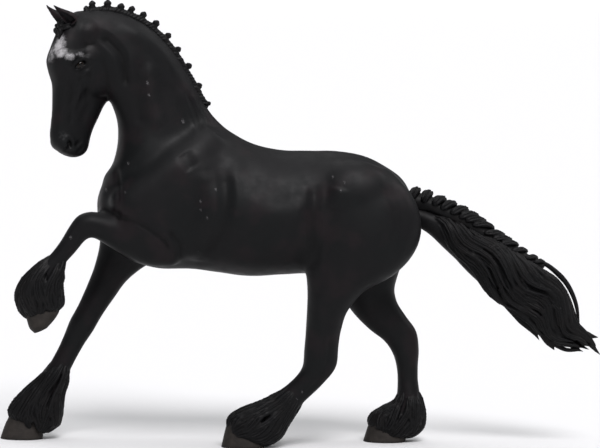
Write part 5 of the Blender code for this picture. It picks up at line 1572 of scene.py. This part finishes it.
def hair_material():
    """Black moulded hair, with a painted highlight that makes its ridges a little paler, painted shade in its
    grooves, and fine grain.
    """
    made, tree, place = new_material("hair_plastic")
    tone = noise(tree, place, 0.22, 3.0)
    relief = node(tree, "ShaderNodeAttribute", attribute_name="relief").outputs["Fac"]
    colour = mix(tree, ramp(tree, tone, 0.4, 0.66), HAIR, HAIR_WARM)
    # Painted highlight: the ridges that stand proud are paler
    colour = mix(tree, ramp(tree, relief, 0.03, 0.16), colour, HAIR_PAINTED_HIGHLIGHT)
    # Painted shade: the grooves between the locks are darkened towards black
    colour = mix(tree, ramp(tree, relief, 0.0, -0.09), colour, PAINTED_SHADE_BLACK)
    rough = spread(tree, noise(tree, place, 0.6, 2.0), 0.42, 0.6)
    return finish(made, colour, rough, noise(tree, place, 2.2, 4.0), 0.25, 0.05)


def hoof_material():
    """Dull grey-brown paint, uneven and darker towards the sole."""
    made, tree, place = new_material("hoof_plastic")
    patches = noise(tree, place, 0.45, 4.0, 0.6)
    colour = mix(tree, ramp(tree, patches, 0.35, 0.7), HOOF, HOOF_PALE)
    height = node(tree, "ShaderNodeSeparateXYZ", {0: place}).outputs["Z"]
    colour = mix(tree, maths(tree, "MULTIPLY", ramp(tree, height, 1.0, 0.1), 0.6), colour, HOOF_DARK)
    rough = spread(tree, noise(tree, place, 0.9, 3.0), 0.54, 0.72)
    bands = node(tree, "ShaderNodeMapping", {"Vector": place, "Scale": (0.25, 0.25, 1.6)}).outputs[0]
    height = maths(tree, "ADD", noise(tree, bands, 1.4, 3.0), noise(tree, place, 3.0, 3.0))
    return finish(made, colour, rough, height, 0.35, 0.06)


def eye_material():
    """A glossy painted eye: black, with a dark brown ring round the pupil."""
    made, tree, place = new_material("eye_gloss")
    split = node(tree, "ShaderNodeSeparateXYZ", {0: place}).outputs
    x = maths(tree, "MULTIPLY", split["X"], split["X"])
    y = maths(tree, "MULTIPLY", split["Y"], split["Y"])
    away = maths(tree, "SQRT", maths(tree, "ADD", x, y))
    iris = maths(tree, "MULTIPLY", ramp(tree, away, 0.38, 0.52), ramp(tree, away, 1.02, 0.84))
    colour = mix(tree, iris, PUPIL, IRIS)
    rough = spread(tree, noise(tree, place, 1.2, 2.0), 0.07, 0.15)
    return finish(made, colour, rough, noise(tree, place, 1.5, 2.0), 0.05, 0.02, EYE_GLINT, EYE_SHEEN)


FLESH = ("torso", "neck", "head", "foreleg_left", "foreleg_right", "hindleg_left", "hindleg_right")

# The map that paint is baked on: its name, and the margin of its tiles
BAKE_MAP = "OFBake"
TILE_MARGIN = 0.06
UNROLL_STEPS = 3
# The share of a tile's length that each rounded end of a form may take
END_ROOM = 0.25


def unroll(points, table):
    """Where points lie on a form: how near its middle line, how far along it and the angle round it."""
    rows = smooth_rows(table, UNROLL_STEPS)
    chord = np.stack([rows[:, 0] - rows[:, 2], 0 * rows[:, 0], rows[:, 1] - rows[:, 3]], axis=1)
    middle_x = (rows[:, 0] + rows[:, 2]) / 2
    middle_z = (rows[:, 1] + rows[:, 3]) / 2
    middles = np.stack([middle_x, rows[:, 5], middle_z], axis=1)
    half = np.linalg.norm(chord, axis=1) / 2
    runs = np.concatenate([[0.0], np.cumsum(np.linalg.norm(np.diff(middles, axis=0), axis=1))])
    gap, along = distance_to_line(points, middles)
    at = along * runs[-1]
    nearest = np.stack([np.interp(at, runs, middles[:, k]) for k in range(3)], axis=1)
    ray = np.stack([np.interp(at, runs, chord[:, k] / (2 * half)) for k in range(3)], axis=1)
    reach = np.interp(at, runs, np.maximum(half, rows[:, 4]))
    offset = points - nearest
    rise = (offset * ray).sum(axis=1)
    angle = np.arctan2(offset[:, 1], rise)
    # Past an end of the form, the rounded end goes on from it.
    for end, beside, sign in ((middles[0], middles[1], -1), (middles[-1], middles[-2], 1)):
        way = (end - beside) / np.linalg.norm(end - beside)
        past = (points - end) @ way
        radius = np.hypot(offset[:, 1], rise)
        beyond = (past > 0) & np.isclose(along, 0.0 if sign < 0 else 1.0)
        extra = np.arctan2(past, radius) * reach / runs[-1]
        along = np.where(beyond, along + sign * extra, along)
    return gap / reach, along, angle


def bake_map(obj, forms):
    """A UV map that unrolls each face round the nearest of the forms it grew from, with a tile for each form.

    A form is its table and whether it is drawn on the straight head.
    """
    mesh = obj.data
    co = numbers(mesh.vertices, "co") / MM
    corners = numbers(mesh.loops, "vertex_index", 1, np.int32)
    totals = numbers(mesh.polygons, "loop_total", 1, np.int32)
    face = np.repeat(np.arange(len(totals)), totals)
    centres = np.stack([np.bincount(face, co[corners, k]) for k in range(3)], axis=1) / totals[:, None]
    best = np.full(len(totals), np.inf)
    chosen = np.zeros(len(totals), int)
    turn = np.zeros(len(totals))
    for k, (table, on_head) in enumerate(forms):
        near, _, angle = unroll(head_local(centres) if on_head else centres, table)
        closer = near < best
        best[closer] = near[closer]
        chosen[closer] = k
        turn[closer] = angle[closer]
    columns = math.ceil(math.sqrt(len(forms)))
    uv = np.zeros((len(corners), 2))
    for k, (table, on_head) in enumerate(forms):
        mine = chosen[face] == k
        points = co[corners[mine]]
        _, along, angle = unroll(head_local(points) if on_head else points, table)
        angle += 2 * math.pi * np.round((turn[face[mine]] - angle) / (2 * math.pi))
        around = TILE_MARGIN + (1 - 2 * TILE_MARGIN) * (angle / (2 * math.pi) + 0.5)
        length = TILE_MARGIN + (1 - 2 * TILE_MARGIN) * (END_ROOM + (1 - 2 * END_ROOM) * along)
        uv[mine, 0] = (k % columns + around) / columns
        uv[mine, 1] = (k // columns + np.clip(length, 0.01, 0.99)) / columns
    mesh.uv_layers.new(name=BAKE_MAP).data.foreach_set("uv", uv.ravel())
    return obj


def dress(obj, material, slot, *nodes):
    """Gives a piece its material, hangs it from the root, and hides the solids that it stands for."""
    obj.data.materials.clear()
    obj.data.materials.append(material)
    obj.data.shade_smooth()
    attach(obj, "root")
    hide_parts(*nodes)


def dress_all():
    coat = coat_material()
    hair = hair_material()
    eyes = eye_material()
    hooves = hoof_material()
    ears = ear_material()
    body_forms = [(TORSO, False), (NECK, False), (HEAD, True)] + [(table, False) for table in LIMBS]
    dress(bake_map(skin(), body_forms), coat, "coat", *FLESH)
    for side in ("left", "right"):
        dress(eye(side), eyes, "eyes", f"eye_{side}")
        dress(ear(f"ear_{side}"), ears, "coat", f"ear_{side}")
    for end in HOOVES:
        dress(hoof(end), hooves, "hooves", f"{end}_hoof")
        dress(bake_map(feather(end), [(FEATHERS[end], False)]), hair, "hair", f"{end}_fetlock")
    dress(mane(), hair, "hair", "mane")
    dress(forelock(), hair, "hair", "forelock")
    dress(bake_map(tail_plait(), [(DOCK, False)]), hair, "hair", "tail_dock")
    dress(bake_map(tail_locks(), [(TAIL_HAIR, False), (TAIL_ROOT, False)]), hair, "hair", "tail_hair")


# The photograph's view: how the camera stands round the figure, and the width that it takes in
AZIMUTH = math.radians(-4.0)
ELEVATION = math.radians(4.0)
ROLL = math.radians(1.0)
TARGET = Vector((0.0, 0.0, 60.9)) * MM
DISTANCE = 0.9
VIEW_WIDTH = 0.165
SENSOR = 36.0


def camera():
    data = bpy.data.cameras.new("camera")
    data.sensor_width = SENSOR
    data.lens = SENSOR * DISTANCE / VIEW_WIDTH
    made = bpy.data.objects.new("camera", data)
    bpy.context.scene.collection.objects.link(made)
    flat = math.cos(ELEVATION)
    back = Vector((math.sin(AZIMUTH) * flat, -math.cos(AZIMUTH) * flat, math.sin(ELEVATION)))
    level = (-back).cross(Vector((0, 0, 1))).normalized()
    upright = level.cross(-back)
    right = level * math.cos(ROLL) + upright * math.sin(ROLL)
    up = upright * math.cos(ROLL) - level * math.sin(ROLL)
    turn = Matrix((right, up, back)).transposed().to_4x4()
    made.matrix_world = Matrix.Translation(TARGET + back * DISTANCE) @ turn
    bpy.context.scene.camera = made


# Soft lights from far away: bearing from straight in front of the left side towards the tail, height, width,
# power, colour
LIGHTS = {
    "key": (10.0, 50.0, 28.0, 2.85, (1.0, 0.985, 1.0)),
    "fill": (-10.0, 80.0, 50.0, 0.8, (0.98, 0.98, 1.0)),
    "rim": (100.0, 46.0, 40.0, 0.9, (1.0, 1.0, 1.0)),
    "back": (200.0, 60.0, 50.0, 0.6, (1.0, 1.0, 1.0)),
}
# The floor is a wide disc whose rim rises as a backdrop: radius and height of each ring, in metres
FLOOR_RINGS = ((40.0, 0.0), (52.0, 7.0))
FLOOR_SIDES = 64
FLOOR = (0.66, 0.66, 0.665)
WORLD = (0.95, 0.97, 1.0)
WORLD_STRENGTH = 0.2
FLOOR_ROUGHNESS = 0.9


def studio():
    scene = bpy.context.scene
    for name, (bearing, height, width, power, colour) in LIGHTS.items():
        data = bpy.data.lights.new(name, "SUN")
        data.angle = math.radians(width)
        data.energy = power
        data.color = colour
        made = bpy.data.objects.new(name, data)
        bearing = math.radians(bearing)
        height = math.radians(height)
        flat = math.cos(height)
        away = Vector((math.sin(bearing) * flat, -math.cos(bearing) * flat, math.sin(height)))
        made.rotation_euler = away.to_track_quat("Z", "Y").to_euler()
        scene.collection.objects.link(made)
    bm = bmesh.new()
    rings = []
    for radius, z in FLOOR_RINGS:
        made_ring = []
        for k in range(FLOOR_SIDES):
            angle = 2 * math.pi * k / FLOOR_SIDES
            point = Vector((math.cos(angle) * radius, math.sin(angle) * radius, z))
            made_ring.append(bm.verts.new(point / MM))
        rings.append(made_ring)
    inner, outer = rings
    bm.faces.new(inner)
    for k in range(FLOOR_SIDES):
        j = (k + 1) % FLOOR_SIDES
        bm.faces.new((inner[k], inner[j], outer[j], outer[k]))
    floor = mesh_object("floor", bm)
    paint = bpy.data.materials.new("floor_paint")
    paint.use_nodes = True
    shader = paint.node_tree.nodes["Principled BSDF"]
    shader.inputs["Base Color"].default_value = (*FLOOR, 1.0)
    shader.inputs["Roughness"].default_value = FLOOR_ROUGHNESS
    shader.inputs["Specular IOR Level"].default_value = 0.0
    floor.data.materials.append(paint)
    world = bpy.data.worlds.new("studio")
    world.use_nodes = True
    world.node_tree.nodes["Background"].inputs["Color"].default_value = (*WORLD, 1.0)
    world.node_tree.nodes["Background"].inputs["Strength"].default_value = WORLD_STRENGTH
    scene.world = world
    scene.view_settings.view_transform = "Standard"


camera()
studio()
dress_all()
